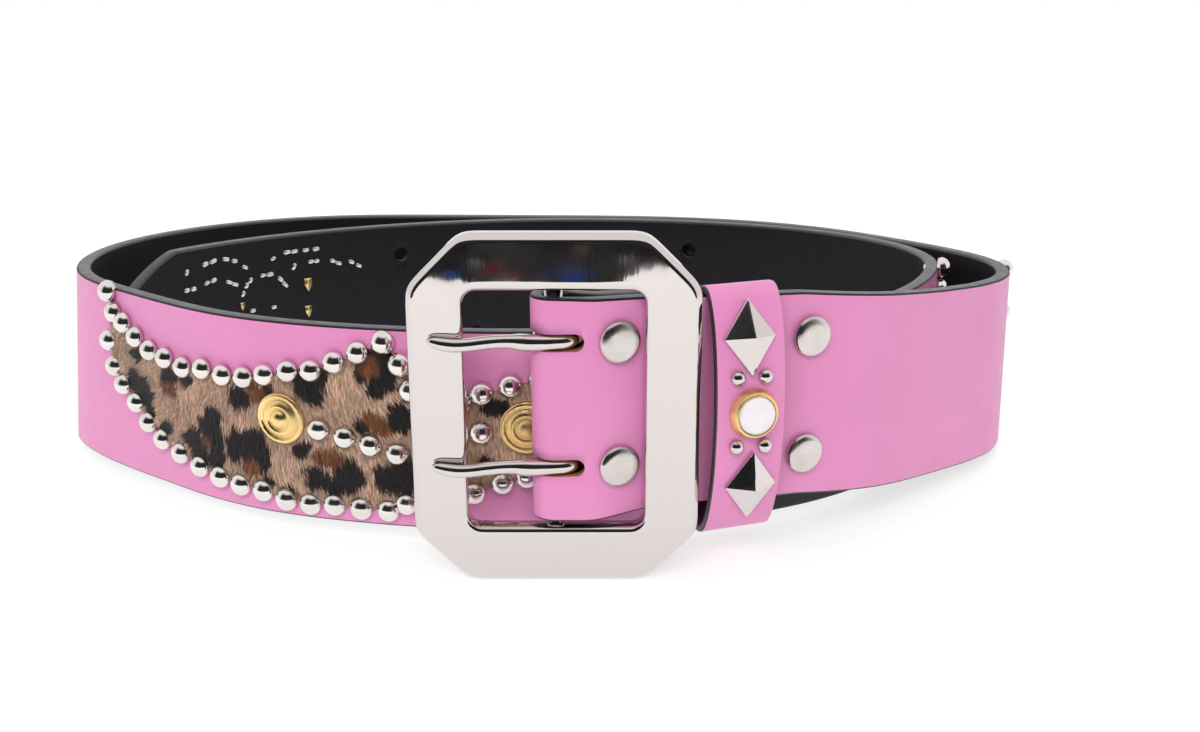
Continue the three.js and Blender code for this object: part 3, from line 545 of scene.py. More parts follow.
def build_prong(name, row):
    z0 = station(0)[4] + row
    t = np.array(PRONG, float)
    u = np.linspace(0, len(t) - 1, 60)
    # smooth the table with a cubic blend
    cols = []
    for k in range(4):
        y = t[:, k]
        m = np.gradient(y)
        i = np.minimum(u.astype(int), len(t) - 2)
        s = u - i
        cols.append((2 * s**3 - 3 * s**2 + 1) * y[i] + (s**3 - 2 * s**2 + s) * m[i] + (-2 * s**3 + 3 * s**2) * y[i + 1] + (s**3 - s**2) * m[i + 1])
    run, front, half, sag = cols
    pts = np.stack([BAR[0] - run, BAR[1] - front, z0 + sag], -1)
    tan = np.gradient(pts, axis=0)
    tan /= np.linalg.norm(tan, axis=1)[:, None]
    b = Batch()
    rings, n = [], 20
    for p, d, h in zip(pts, tan, half):
        side = np.array([0, 0, 1.0])
        out = np.cross(d, side)
        out /= np.linalg.norm(out)
        side = np.cross(out, d)
        rings.append([p + h * 1.14 * (math.cos(2 * math.pi * i / n) * out * 0.92 + math.sin(2 * math.pi * i / n) * side) for i in range(n)])
    v, f, _ = shell(rings)
    b.add(v, f)
    ring, k = [], 44
    for i in range(k):
        a = 2 * math.pi * i / k
        c = np.array([BAR[0] + 3.75 * math.cos(a), BAR[1] + 3.75 * math.sin(a), z0])
        rad = np.array([math.cos(a), math.sin(a), 0])
        ring.append([c + 1.2 * math.cos(2 * math.pi * j / 14) * rad + 1.45 * math.sin(2 * math.pi * j / 14) * np.array([0, 0, 1.0]) for j in range(14)])
    v, f, _ = shell(ring, closed_rings=True)
    b.add(v, f)
    return done(fix_out(b.object(name + "_shaped", [CHROME])), name, "buckle_metal", name)


for nm, row in (("prong_high", ROW_HIGH), ("prong_low", ROW_LOW)):
    build_prong(nm, row)

# ---------------------------------------------------------------- keeper
kst = station(KEEPER_AT)
K_ORIGIN = np.array([kst[0], kst[1], 0.0])
K_OUT = np.array([kst[2], kst[3], 0.0])
K_ALONG = np.array([-kst[3], kst[2], 0.0])
K_MID, K_HALF = (KEEPER_TOP + KEEPER_BOTTOM) / 2, (KEEPER_TOP - KEEPER_BOTTOM) / 2


def bow(z, inset=0.0):
    return 1.6 + (KEEPER_BULGE - 1.6 - inset) * np.sqrt(np.maximum(0, 1 - ((np.asarray(z, float) - K_MID) / (K_HALF - inset)) ** 2))


def keeper_outline():
    """Outer outline as (o, z): the bowed front, over the strap's top edge, down the back and under."""
    front = [(float(bow(z)), z) for z in K_MID + K_HALF * np.sin(np.radians(np.linspace(-86, 78, 30)))]
    rest = [(2.9, 68.15), (1.2, 68.05), (-0.6, 67.6), (-2.4, 67.0), (-4.2, 66.2), (-6.0, 65.2), (-7.4, 63.9), (-8.2, 62.2), (-8.4, 60.0), (-8.4, 50.0), (-8.4, 38.0), (-8.4, 26.0), (-8.4, 14.5), (-8.2, 11.6), (-7.3, 9.6), (-5.6, 8.5), (-3.4, 8.2), (0.2, 8.15)]
    p = np.array(front + rest)
    # even spacing, then softened corners
    q = np.concatenate([p, p[:1]])
    ln = np.concatenate([[0], np.cumsum(np.hypot(*np.diff(q, axis=0).T))])
    t = np.linspace(0, ln[-1], 161)[:-1]
    return smooth_loop(np.stack([np.interp(t, ln, q[:, 0]), np.interp(t, ln, q[:, 1])], -1), 6)


def keeper_loop(inset):
    p = keeper_outline()
    d = np.roll(p, -1, 0) - np.roll(p, 1, 0)
    d /= np.linalg.norm(d, axis=1)[:, None]
    return p + inset * np.stack([-d[:, 1], d[:, 0]], -1)


def build_keeper():
    e, w = 0.7, KEEPER_W / 2
    section = [(0.0, -w + 0.3, 0), (0.0, -w / 3, 0), (0.0, w / 3, 0), (0.0, w - 0.4, 0), (0.1, w - 0.12, 1), (0.35, w, 1), (KEEPER_WALL - e, w, 1), (KEEPER_WALL - 0.2, w - 0.2, 1),
               (KEEPER_WALL, w - e, 2), (KEEPER_WALL, -w + e, 1), (KEEPER_WALL - 0.2, -w + 0.2, 1), (KEEPER_WALL - e, -w, 1), (0.3, -w, 1), (0.08, -w + 0.08, 1)]
    loops = {d: keeper_loop(d) for d in {s[0] for s in section}}
    n = len(loops[0.0])
    rings = []
    for i in range(n):
        ring = []
        for d, x, _ in section:
            o, z = loops[d][i]
            ring.append(K_ORIGIN + K_ALONG * x + K_OUT * o + np.array([0, 0, z]))
        rings.append(ring)
    verts, faces, mats = shell(rings, closed_rings=True, face_of=[s[2] for s in section])
    ob = fix_out(make("keeper_loop", verts, faces, [PINK, EDGE, KEEPER_INSIDE_SHADE], mats))
    return done(ob, "belt", "pink_leather", "keeper")


build_keeper()


def keeper_frame(x, z, sink=0.0):
    slope = math.atan2(float(bow(z + 1) - bow(z - 1)), 2)
    out = K_OUT * math.cos(slope) - np.array([0, 0, 1.0]) * math.sin(slope)
    up = np.cross(out, K_ALONG)
    p = K_ORIGIN + K_ALONG * x + K_OUT * float(bow(z)) + np.array([0, 0, z])
    return p + out * sink, K_ALONG, up, out


def build_diamond(name, x, z, tip_back=0.0):
    a, h, rim, peak = 6.3, 8.7, 1.1, 3.6
    corner = [(a, 0), (0, h), (-a, 0), (0, -h)]
    v = [(cx, cy, -0.9) for cx, cy in corner] + [(cx, cy, 0.55) for cx, cy in corner] + [(0, 0, peak)]
    f = [(3, 2, 1, 0)] + [(i, (i + 1) % 4, 4 + (i + 1) % 4, 4 + i) for i in range(4)] + [(4 + i, 4 + (i + 1) % 4, 8) for i in range(4)]
    b = Batch()
    p, al, up, out = keeper_frame(x, z, 0.3)
    t = math.radians(tip_back)
    b.put((np.array(v, float), f), p, al, up * math.cos(t) - out * math.sin(t), out * math.cos(t) + up * math.sin(t))
    ob = fix_out(b.object(name + "_cut", [CHROME], flat=True))
    m = ob.modifiers.new("bevel", "BEVEL")
    m.width, m.segments, m.limit_method = 0.22 * MM, 3, "NONE"
    m.harden_normals = False
    return done(ob, "belt", "buckle_metal", name)


build_diamond("diamond_high", -0.3, 57.2)
build_diamond("diamond_low", 0.8, 22.2, 1.6)

BALL = lathe([(0, -0.5), (1.5, -0.5), (1.72, 0.1)] + [(1.78 * math.cos(math.radians(a)), 0.3 + 1.72 * math.sin(math.radians(a))) for a in range(8, 90, 9)] + [(0, 2.02)], 28)
for nm, x, z in (("ball_high_left", -3.5, 48.5), ("ball_high_right", 3.2, 48.3), ("ball_low_left", -3.5, 32.4), ("ball_low_right", 3.5, 31.9)):
    b = Batch()
    b.put(BALL, *keeper_frame(x, z, 0.1))
    done(fix_out(b.object(nm + "_dome", [CHROME])), "belt", "buckle_metal", nm)

b = Batch()
b.put(lathe([(0, -0.8), (5.6, -0.8), (5.85, 0.0), (5.75, 0.5), (5.5, 1.1), (5.3, 1.7), (5.1, 2.1), (4.85, 2.3), (4.62, 2.2), (4.5, 1.9), (4.45, 1.2), (0, 1.2)], 56), *keeper_frame(0.4, 40.0, 0.4))
done(fix_out(b.object("stone_setting_ring", [GOLD])), "belt", "gold_metal", "stone_setting")
b = Batch()
b.put(lathe([(0, 1.0), (4.42, 1.0), (4.45, 1.7)] + [(4.4 * math.cos(math.radians(a)), 1.9 + 1.9 * math.sin(math.radians(a))) for a in range(8, 90, 8)] + [(0, 3.8)], 56), *keeper_frame(0.4, 40.0, 0.4))
done(fix_out(b.object("stone_cabochon", [STONE])), "belt", "milky_stone", "keeper_stone")

# ---------------------------------------------------------------- rivets
for nm, at, z in (("rivet_buckle_high", 14.2, 40.4), ("rivet_buckle_low", 14.2, 11.3), ("rivet_keeper_high", 62.0, 39.8), ("rivet_keeper_low", 61.4, 10.8)):
    s, f2 = station(at), flap_station(at)
    depth = math.hypot(f2[0] - s[0], f2[1] - s[1]) + 2 * HALF
    prof = [(0, -depth - 1.5), (2.6, -depth - 1.4), (3.2, -depth - 1.0), (3.2, -depth - 0.4), (1.7, -depth - 0.3), (1.7, 0.1), (4.55, 0.1), (4.85, 0.3), (4.92, 0.65), (4.86, 1.0), (4.7, 1.32), (4.42, 1.6), (4.05, 1.8), (3.6, 1.93), (3.1, 2.01), (2.4, 2.06), (1.4, 2.09), (0, 2.1)]
    b = Batch()
    b.put(lathe(prof, 48), *frames(at, HALF, z))
    done(fix_out(b.object(nm + "_cap", [SATIN])), "belt", "buckle_metal", nm)

# ---------------------------------------------------------------- studs
# places as measured on the strap for the motif's left half: d from its middle, z above the lower edge
TOP = [(-135, 49.0), (-132.4, 43.7), (-127.8, 41.7), (-122, 38.8), (-115.8, 36.3), (-108.9, 35.5), (-101.5, 34.4), (-94, 35.3), (-87.1, 34.7), (-80.5, 35.1), (-74.4, 36.5),
       (-67.8, 38.1), (-61.7, 38.8), (-55.6, 41.3), (-49.5, 44.1), (-43.3, 46.9)]
DIP = [(-39.5, 41.7), (-37.2, 35.4), (-31.6, 31.4), (-25.6, 32.6), (-20.5, 35.2), (-13.9, 37.2), (-7, 38.8), (0, 39.8)]
LOW = [(-135.8, 35.5), (-133.6, 28.8), (-129.6, 24.5), (-123.9, 20.5), (-118.8, 16.1), (-112.9, 12.6), (-105.3, 10.5), (-97.8, 8.5), (-90.7, 7.2), (-84, 6.4), (-77.2, 6.0), (-70.7, 4.6),
       (-64.1, 4.3), (-57.7, 4.8), (-50.8, 4.5), (-43.9, 4.5), (-39.3, 6.5), (-33.6, 7.6), (-28.2, 8.8), (-22.9, 10.1), (-16.2, 12.8), (-10.4, 14.4), (-5, 15.6), (0, 16)]
MIDDLE = [(-60.4, 24.2), (-53.8, 22.8), (-47.4, 21.3), (-40.9, 19.6), (-34, 19.2), (-27.3, 21.5), (-20.8, 25.7)]
mirror = lambda rows: [(-d, z) for d, z in rows][::-1]
FRONT, BACK = 693.5, 298.0
TOP_BACK = [(-131.0, 48.0), (-127.6, 43.0), (-124.0, 40.2)] + TOP[3:]
LOW_BACK = [(-131.2, 35.5), (-128.6, 29.5), (-126.0, 24.0)] + LOW[3:]
# stud rows: node, motif middle, places, stands on the hide
ROWS = [
    ("studs_front_arch_left", FRONT, TOP, False), ("studs_front_dip", FRONT, DIP + mirror(DIP)[1:4], False), ("studs_front_bottom", FRONT, LOW + mirror(LOW)[1:5], False),
    ("studs_front_middle_left", FRONT, MIDDLE, True), ("studs_front_end_high", FRONT, mirror(TOP)[-6:-1] + [(134.2, 49.6)], False), ("studs_front_end_low", FRONT, mirror(LOW)[-5:], False),
    ("studs_back_arch_left", BACK, TOP_BACK, False), ("studs_back_arch_right", BACK, mirror(TOP[2:]) + [(131.5, 43.0), (134.5, 45.6)], False), ("studs_back_dip", BACK, DIP + mirror(DIP)[1:], False),
    ("studs_back_bottom", BACK, LOW_BACK + mirror(LOW)[1:], False), ("studs_back_middle_left", BACK, MIDDLE, True), ("studs_back_middle_right", BACK, mirror(MIDDLE), True)]
TIP = [("studs_tip_outer_high", 9, [(1116.5, 42.8), (1109, 44.8), (1100.5, 44), (1094, 39.5), (1087.5, 39.5), (1081, 44), (1072, 45), (1064, 42)]),
       ("studs_tip_inner_high", 3, [(1114, 36), (1108, 37.8), (1101.5, 36.6)]), ("studs_tip_inner_low", 3, [(1114, 14), (1108, 12.2), (1101.5, 13.4)]),
       ("studs_tip_outer_low", 9, [(1116.5, 7.2), (1109, 5.2), (1100.5, 6), (1094, 10.5), (1087.5, 10.5), (1081, 6), (1072, 5), (1064, 8)])]


def spaced(path, count):
    p = np.array(path, float)
    ln = np.concatenate([[0], np.cumsum(np.hypot(*np.diff(p, axis=0).T))])
    t = np.linspace(0, ln[-1], count)
    return [(float(a), float(b)) for a, b in zip(np.interp(t, ln, p[:, 0]), np.interp(t, ln, p[:, 1]))]


ROWS += [(n, 0.0, spaced(path, count), False) for n, count, path in TIP]
STUD_R, STUD_H = 2.98, 2.8
DOME = lathe([(0, -0.7), (2.7, -0.7), (2.85, 0.0)] + [(STUD_R * math.cos(math.radians(a)), 0.12 + (STUD_H - 0.12) * math.sin(math.radians(a))) for a in (0, 8, 16, 24, 32, 40, 48, 56, 64, 72, 80)] + [(0, STUD_H)], 26)
rng = np.random.default_rng(11)
stud_places = []
for nm, middle, rows, on_hide in ROWS:
    b = Batch()
    for d, z in rows:
        base = (HIDE_HIGH if on_hide else HALF + 0.35) + 0.15
        p, al, up, out = frames(middle + d, base, z)
        # each stud sits a touch askew
        k = rng.normal(0, 0.045, 2)
        n = out + al * k[0] + up * k[1]
        n /= np.linalg.norm(n)
        al = np.cross(up, n)
        al /= np.linalg.norm(al)
        b.put(DOME, p, al, np.cross(n, al), n, 0, 1 + rng.normal(0, 0.015))
        stud_places.append((middle + d, z))
    done(fix_out(b.object(nm + "_domes", [STUD])), "belt", "stud_metal", nm)

CONCHO = [(0, -0.7), (6.1, -0.7), (6.42, -0.2), (6.5, 0.3), (6.36, 0.72), (6.0, 0.98), (5.5, 1.05), (5.2, 0.9), (5.0, 0.66), (4.8, 0.62), (4.55, 0.85), (4.1, 1.3), (3.6, 1.58), (3.2, 1.66), (2.95, 1.55), (2.75, 1.3), (2.5, 1.26),
          (2.25, 1.5), (1.95, 1.9), (1.6, 2.2), (1.15, 2.45), (0.6, 2.58), (0, 2.62)]
for nm, at, z, base in [("concho_front_1", 623.3, 26.1, HIDE_HIGH), ("concho_front_2", 683.3, 27.1, HIDE_HIGH), ("concho_front_3", 703.5, 27.0, HIDE_HIGH),
                        ("concho_back_1", 227.8, 26.1, HIDE_HIGH), ("concho_back_2", 287.8, 27.1, HIDE_HIGH), ("concho_back_3", 308.2, 27.1, HIDE_HIGH), ("concho_back_4", 368.2, 26.1, HIDE_HIGH),
                        ("concho_tip", 1074.0, 27.0, HALF)]:
    v, f = lathe(CONCHO, 60)
    # beaded ripple round the rim
    r = np.hypot(v[:, 0], v[:, 1])
    th = np.arctan2(v[:, 1], v[:, 0])
    v[:, 2] += np.where((r > 5.1) & (r < 6.2), 0.05 * np.cos(20 * th), 0)
    b = Batch()
    b.put((v, f), *frames(at, base + 0.35, z))
    done(fix_out(b.object(nm + "_disc", [GOLD])), "belt", "gold_metal", nm)

# ---------------------------------------------------------------- hide patches
EDGE_D = np.linspace(-134.6, 0, 120)
EDGE_LOW = np.interp(EDGE_D, [p[0] for p in LOW], [p[1] for p in LOW]) + 0.3
EDGE_HIGH = np.interp(EDGE_D, [p[0] for p in TOP + DIP], [p[1] for p in TOP + DIP]) - 0.3
# printed spots, charted one by one: length along the strap, height, half sizes, tone (k dark, b brown)
SPOTS = [
    (569.8, 26.3, 3.8, 3.3, "k"), (573.8, 23.8, 3.6, 4.2, "k"), (575.8, 19.8, 2.2, 2.6, "k"), (571.3, 21.3, 3.0, 1.9, "k"), (582.8, 16.3, 2.7, 2.1, "k"), (580.3, 14.3, 2.5, 1.5, "k"), (571.3, 34.0, 3.0, 1.2, "k"),
    (586.3, 30.8, 3.6, 1.8, "k"), (592.2, 30.8, 2.6, 1.5, "k"), (585.8, 27.8, 3.2, 2.2, "b"), (583.3, 29.8, 1.6, 1.4, "k"), (602.0, 23.3, 2.9, 2.8, "k"), (600.5, 19.8, 4.2, 3.1, "k"), (602.5, 15.3, 2.7, 6.0, "k"),
    (595.0, 14.8, 3.7, 3.7, "k"), (598.0, 11.3, 4.2, 1.8, "k"), (598.4, 15.8, 2.3, 1.9, "b"), (610.8, 17.8, 4.7, 3.6, "k"), (615.2, 19.8, 3.3, 2.5, "k"), (608.3, 15.3, 2.7, 3.7, "k"), (617.2, 15.3, 1.9, 4.7, "k"),
    (612.8, 14.6, 3.2, 2.2, "k"), (613.6, 11.9, 3.0, 2.5, "b"), (611.3, 29.3, 3.0, 2.7, "k"), (616.2, 31.3, 3.3, 2.2, "b"), (619.2, 31.8, 1.9, 2.3, "k"), (630.6, 34.8, 4.1, 2.8, "k"), (632.1, 32.3, 2.6, 2.0, "k"),
    (634.6, 36.8, 1.6, 2.1, "k"), (646.5, 41.0, 3.4, 3.2, "b"), (649.5, 43.2, 3.4, 2.4, "k"), (648.4, 35.6, 2.8, 2.8, "k"), (651.0, 39.0, 2.1, 4.2, "k"), (644.4, 39.3, 1.4, 2.6, "k"), (653.4, 28.3, 3.3, 3.6, "k"),
    (647.0, 27.3, 3.2, 2.0, "b"), (643.9, 25.8, 1.5, 1.6, "k"), (649.5, 25.0, 2.8, 1.3, "b"), (627.6, 17.8, 2.1, 2.1, "k"), (629.1, 19.3, 1.6, 1.3, "k"), (634.6, 16.8, 4.3, 2.4, "b"), (632.0, 11.3, 3.3, 3.1, "k"),
    (640.5, 12.3, 3.7, 4.3, "k"), (635.6, 9.3, 2.7, 2.0, "k"), (650.0, 12.8, 3.5, 3.4, "k"), (654.0, 13.3, 3.5, 5.0, "k"), (618.6, 8.8, 1.9, 1.2, "k"), (623.1, 7.0, 2.2, 1.1, "k"), (664.5, 22.0, 3.0, 2.6, "k"),
    (667.0, 17.8, 2.2, 1.6, "b"), (661.0, 28.5, 2.0, 1.6, "k"), (676.5, 31.6, 3.6, 1.9, "k"), (673.4, 18.4, 1.7, 1.6, "k"), (690.5, 34.0, 3.0, 2.0, "k"), (693.5, 21.5, 2.6, 2.4, "k"), (696.5, 24.8, 1.8, 1.6, "b"),
    (712.0, 20.5, 2.8, 2.2, "k"), (716.0, 33.0, 2.6, 2.0, "k")]
SPOT_T = np.array([(s - FRONT, v, a, b) for s, v, a, b, _ in SPOTS])
SPOT_K = np.array([t == "k" for *_, t in SPOTS])
TAN, DARK, BROWN = np.array([0.585, 0.385, 0.275]), np.array([0.012, 0.009, 0.010]), np.array([0.20, 0.070, 0.028])


def wobble(d, v, seed, size):
    """Smooth pseudo-random field from a few sines."""
    r = np.random.default_rng(seed)
    out = np.zeros_like(d)
    for _ in range(6):
        a, b, c = r.normal(0, 1 / size, 2).tolist() + [r.uniform(0, 6.3)]
        out += np.sin(a * d * 2.2 + b * v * 2.2 + c)
    return out / 2.4


def tint(d, v):
    """Hide colour at a place: tan, with charted spots whose rims are ragged. The chart's left half also serves the
    right half.
    """
    s = np.where(d > 25, -d, d)
    shift = np.where(d > 25, 1.7, 0)
    ragged = 1 + 0.16 * wobble(d, v, 3, 1.1) + 0.12 * wobble(d, v, 4, 2.6)
    dist = np.full((len(d), len(SPOT_T)), 9.0)
    for k, (cs, cv, a, b) in enumerate(SPOT_T):
        dist[:, k] = np.hypot((s - cs) / a, (v + shift * 0.6 - cv) / b) * ragged
    dk = dist[:, SPOT_K].min(1)
    db = dist[:, ~SPOT_K].min(1)
    wk = 1 - smooth((dk - 0.98) / 0.24)
    wb = 1 - smooth((db - 0.9) / 0.35)
    tan = TAN[None] * (1 + 0.13 * wobble(d, v, 5, 9)[:, None]) * (1 + 0.05 * wobble(d, v, 6, 3)[:, None] * np.array([[1, 0.8, 0.6]]))
    col = tan * (1 - wb[:, None]) + BROWN[None] * wb[:, None]
    wk = wk * (1 - 0.85 * (1 - smooth((db - 0.55) / 0.4)))
    return col * (1 - wk[:, None]) + DARK[None] * wk[:, None]


def build_hide(name, middle, d0, d1, seed, density):
    r = np.random.default_rng(seed)
    edge_d = np.concatenate([EDGE_D, -EDGE_D[:-1][::-1]])
    low = np.concatenate([EDGE_LOW, EDGE_LOW[:-1][::-1]])
    high = np.concatenate([EDGE_HIGH, EDGE_HIGH[:-1][::-1]])
    lo = lambda d: np.interp(d, edge_d, low)
    hi = lambda d: np.interp(d, edge_d, high)
    nd, nv = int((d1 - d0) / 0.85), 38
    dd = np.linspace(d0, d1, nd)
    D = np.repeat(dd[:, None], nv, 1)
    V = lo(dd)[:, None] + (hi(dd) - lo(dd))[:, None] * np.linspace(0, 1, nv)[None]
    edge = np.minimum(np.minimum(V - lo(D), hi(D) - V), np.minimum(D - d0, d1 - D))
    O = HIDE_LOW - 0.15 + (HIDE_HIGH - HIDE_LOW + 0.05) * (0.25 * smooth(edge / 0.5) + 0.75 * smooth(edge / 4.0)) + 0.07 * wobble(D, V, seed + 1, 3) * smooth(edge / 2)
    top = on_strap(middle + D.ravel(), O.ravel(), V.ravel())
    verts = [top]
    faces = [(i * nv + j, (i + 1) * nv + j, (i + 1) * nv + j + 1, i * nv + j + 1) for i in range(nd - 1) for j in range(nv - 1)]
    cols = [tint(D.ravel(), V.ravel()) * 0.62]
    # the patch's underside, plain
    under = on_strap(middle + D.ravel(), np.full(D.size, HIDE_LOW - 0.2), V.ravel())
    n = nd * nv
    verts.append(under)
    cols.append(np.tile(TAN * 0.4, (n, 1)))
    faces += [tuple(n + q for q in f[::-1]) for f in faces]
    rim = [i * nv for i in range(nd)] + [(nd - 1) * nv + j for j in range(1, nv)] + [i * nv + nv - 1 for i in range(nd - 2, -1, -1)] + [j for j in range(nv - 2, 0, -1)]
    faces += [(rim[k], n + rim[k], n + rim[(k + 1) % len(rim)], rim[(k + 1) % len(rim)]) for k in range(len(rim))]
    # hairs: flat tapering blades lying along the coat's run
    area = float(np.sum(hi(dd) - lo(dd)) * (dd[1] - dd[0]))
    count = int(area * density)
    hd = r.uniform(d0, d1, count * 2)
    hv = r.uniform(4, 48, count * 2)
    ok = (hv > lo(hd) - 0.3) & (hv < hi(hd) + 0.3)
    hd, hv = hd[ok][:count], hv[ok][:count]
    m = len(hd)
    run = np.interp(-np.abs(hd + 0.0), [-135, -118, -98, -78, -55, -30, 0], [-138, -132, -118, -92, -70, -78, -95])
    run = np.where(hd > 25, -180 - run, run)
    ang = np.radians(run + 12 * wobble(hd, hv, 21, 14) + 8 * wobble(hd, hv, 22, 4) + r.normal(0, 8, m))
    length = r.uniform(2.0, 3.8, m)
    wide = r.uniform(0.05, 0.10, m)
    lift = r.uniform(0.12, 0.45, m)
    near = np.minimum(hv - lo(hd), hi(hd) - hv)
    base_o = HIDE_LOW - 0.1 + (HIDE_HIGH - HIDE_LOW) * (0.25 + 0.75 * smooth(near / 4.0))
    pts, hc = [], []
    shade = np.where(r.random(m) < 0.2, r.uniform(1.25, 1.6, m), r.uniform(0.66, 1.22, m))[:, None] * (1 + r.normal(0, 0.05, (m, 3)))
    colour = tint(hd + 0.5 * length * np.cos(ang), hv + 0.5 * length * np.sin(ang)) * shade * 0.94
    curl = r.normal(0, 0.25, m)
    for t, wf, of in ((0.0, 0.8, -0.1), (0.5, 1.0, 1.0), (1.0, 0.12, 0.75)):
        cx = hd + np.cos(ang) * length * t - np.sin(ang) * curl * t * t
        cv = hv + np.sin(ang) * length * t + np.cos(ang) * curl * t * t
        cx = np.clip(cx, d0, d1)
        cv = np.clip(cv, lo(cx) - 0.5, hi(cx) + 0.3)
        for sgn in (-1, 1):
            pts.append(on_strap(middle + cx - np.sin(ang) * wide * wf * sgn, base_o + lift * of, cv + np.cos(ang) * wide * wf * sgn))
            hc.append(np.clip(colour * (0.8 + 0.25 * t), 0, 1))
    start = 2 * n
    idx = start + np.arange(m)
    quads = []
    for k in (0, 2):
        a, b2, c, d = idx + k * m, idx + (k + 1) * m, idx + (k + 3) * m, idx + (k + 2) * m
        quads.append(np.stack([a, b2, c, d], -1))
    faces += [tuple(q) for q in np.concatenate(quads).tolist()]
    verts += pts
    cols += hc
    ob = make(name + "_hair", np.concatenate(verts), faces, [HIDE])
    layer = ob.data.color_attributes.new("tint", "FLOAT_COLOR", "POINT")
    rgba = np.ones((len(ob.data.vertices), 4), np.float32)
    rgba[:, :3] = np.concatenate(cols)
    layer.data.foreach_set("color", rgba.ravel())
    return done(ob, "belt", "leopard_hide", name)


build_hide("hide_front", FRONT, -134.5, 24.5, 31, 7.6)
build_hide("hide_back", BACK, -134.5, 134.5, 41, 3.6)

# ---------------------------------------------------------------- bent stud legs on the lining
LEGS = [(1115.0, 43.0), (1108.0, 44.5), (1105.0, 45.0), (1100.5, 45.0), (1097.5, 44.0), (1094.0, 41.5), (1084.0, 43.0), (1079.0, 44.5), (1076.5, 44.5), (1072.5, 44.5), (1069.0, 44.5), (1077.0, 39.5), (1071.0, 40.5),
        (1069.0, 40.5), (1063.5, 40.0), (1061.5, 39.0), (1057.0, 39.0), (1054.5, 37.5), (1088.0, 38.0), (1085.5, 38.0), (1082.0, 36.0), (1080.5, 34.0), (1092.5, 37.0), (1094.0, 35.5), (1095.5, 33.0), (1100.0, 37.5),
        (1098.0, 36.5), (1108.0, 38.5), (1105.5, 39.0), (1115.5, 37.5), (1113.0, 37.5), (1085.0, 27.0), (1092.5, 27.0)]


def leg_shape(length, width, height):
    """A little pad with rounded ends, lying along local x."""
    n, prof = 8, []
    v, f = [], []
    ring = []
    for i in range(n):
        a = 2 * math.pi * i / n
        ring.append((0.5 * (length - width) * (1 if math.cos(a) > 0 else -1) + 0.5 * width * math.cos(a), 0.5 * width * math.sin(a)))
    for k, (s, h) in enumerate(((1.0, -0.3), (1.0, height * 0.45), (0.62, height))):
        v += [(x * s, y * s, h) for x, y in ring]
    for k in range(2):
        f += [(k * n + i, k * n + (i + 1) % n, (k + 1) * n + (i + 1) % n, (k + 1) * n + i) for i in range(n)]
    f += [tuple(range(n))[::-1], tuple(range(2 * n, 3 * n))]
    return np.array(v, float), f


def inner_frame(at, z):
    p, al, up, out = frames(at, -HALF, z)
    return p, -al, up, -out


b = Batch()
for i, (s, z) in enumerate(LEGS):
    near = sorted(LEGS, key=lambda q: (q[0] - s) ** 2 + (q[1] - z) ** 2)[1]
    tilt = math.atan2(near[1] - z, -(near[0] - s)) if abs(near[0] - s) + abs(near[1] - z) < 7 else 0.0
    tilt = max(-0.9, min(0.9, math.atan(math.tan(tilt))))
    p, x, y, n = inner_frame(s, z)
    xx, yy = x * math.cos(tilt) + y * math.sin(tilt), -x * math.sin(tilt) + y * math.cos(tilt)
    b.put(leg_shape(rng.uniform(2.0, 2.8), rng.uniform(1.3, 1.6), 0.6), p, xx, yy, n)
for s, z in [q for q in stud_places if not 1040 < q[0] < 1150]:
    if z > 44.5 and 150 < s < 450:
        continue
    for k in (-1.25, 1.25):
        p, x, y, n = inner_frame(s + k, z + rng.uniform(-0.25, 0.25))
        b.put(leg_shape(rng.uniform(1.4, 1.9), 0.9, 0.3), p, x, y, n)
done(fix_out(b.object("stud_legs", [LEG])), "belt", "stud_metal")

b = Batch()
shield = ([(x * 1.18, y * 1.7, h) for h in (-0.3, 0.35) for x, y in ((-1, 0.8), (-0.9, 1), (0.9, 1), (1, 0.8), (0.75, -0.1), (0.15, -1), (-0.15, -1), (-0.75, -0.1))])
sf = [(i, (i + 1) % 8, 8 + (i + 1) % 8, 8 + i) for i in range(8)] + [tuple(range(8))[::-1], tuple(range(8, 16))]
for s, z, k in ((1072.5, 33.0, 1.25), (1073.0, 24.0, 1.1), (1096.0, 29.0, 0.7)):
    b.put((np.array(shield, float), sf), *inner_frame(s, z), 0, k)
for s in (623.3, 683.3, 703.5, 227.8, 287.8, 308.2, 368.2):
    for z in (22.5, 31.0):
        b.put((np.array(shield, float), sf), *inner_frame(s, z), 0, 0.9)
done(fix_out(b.object("concho_legs", [GOLD])), "belt", "gold_metal")

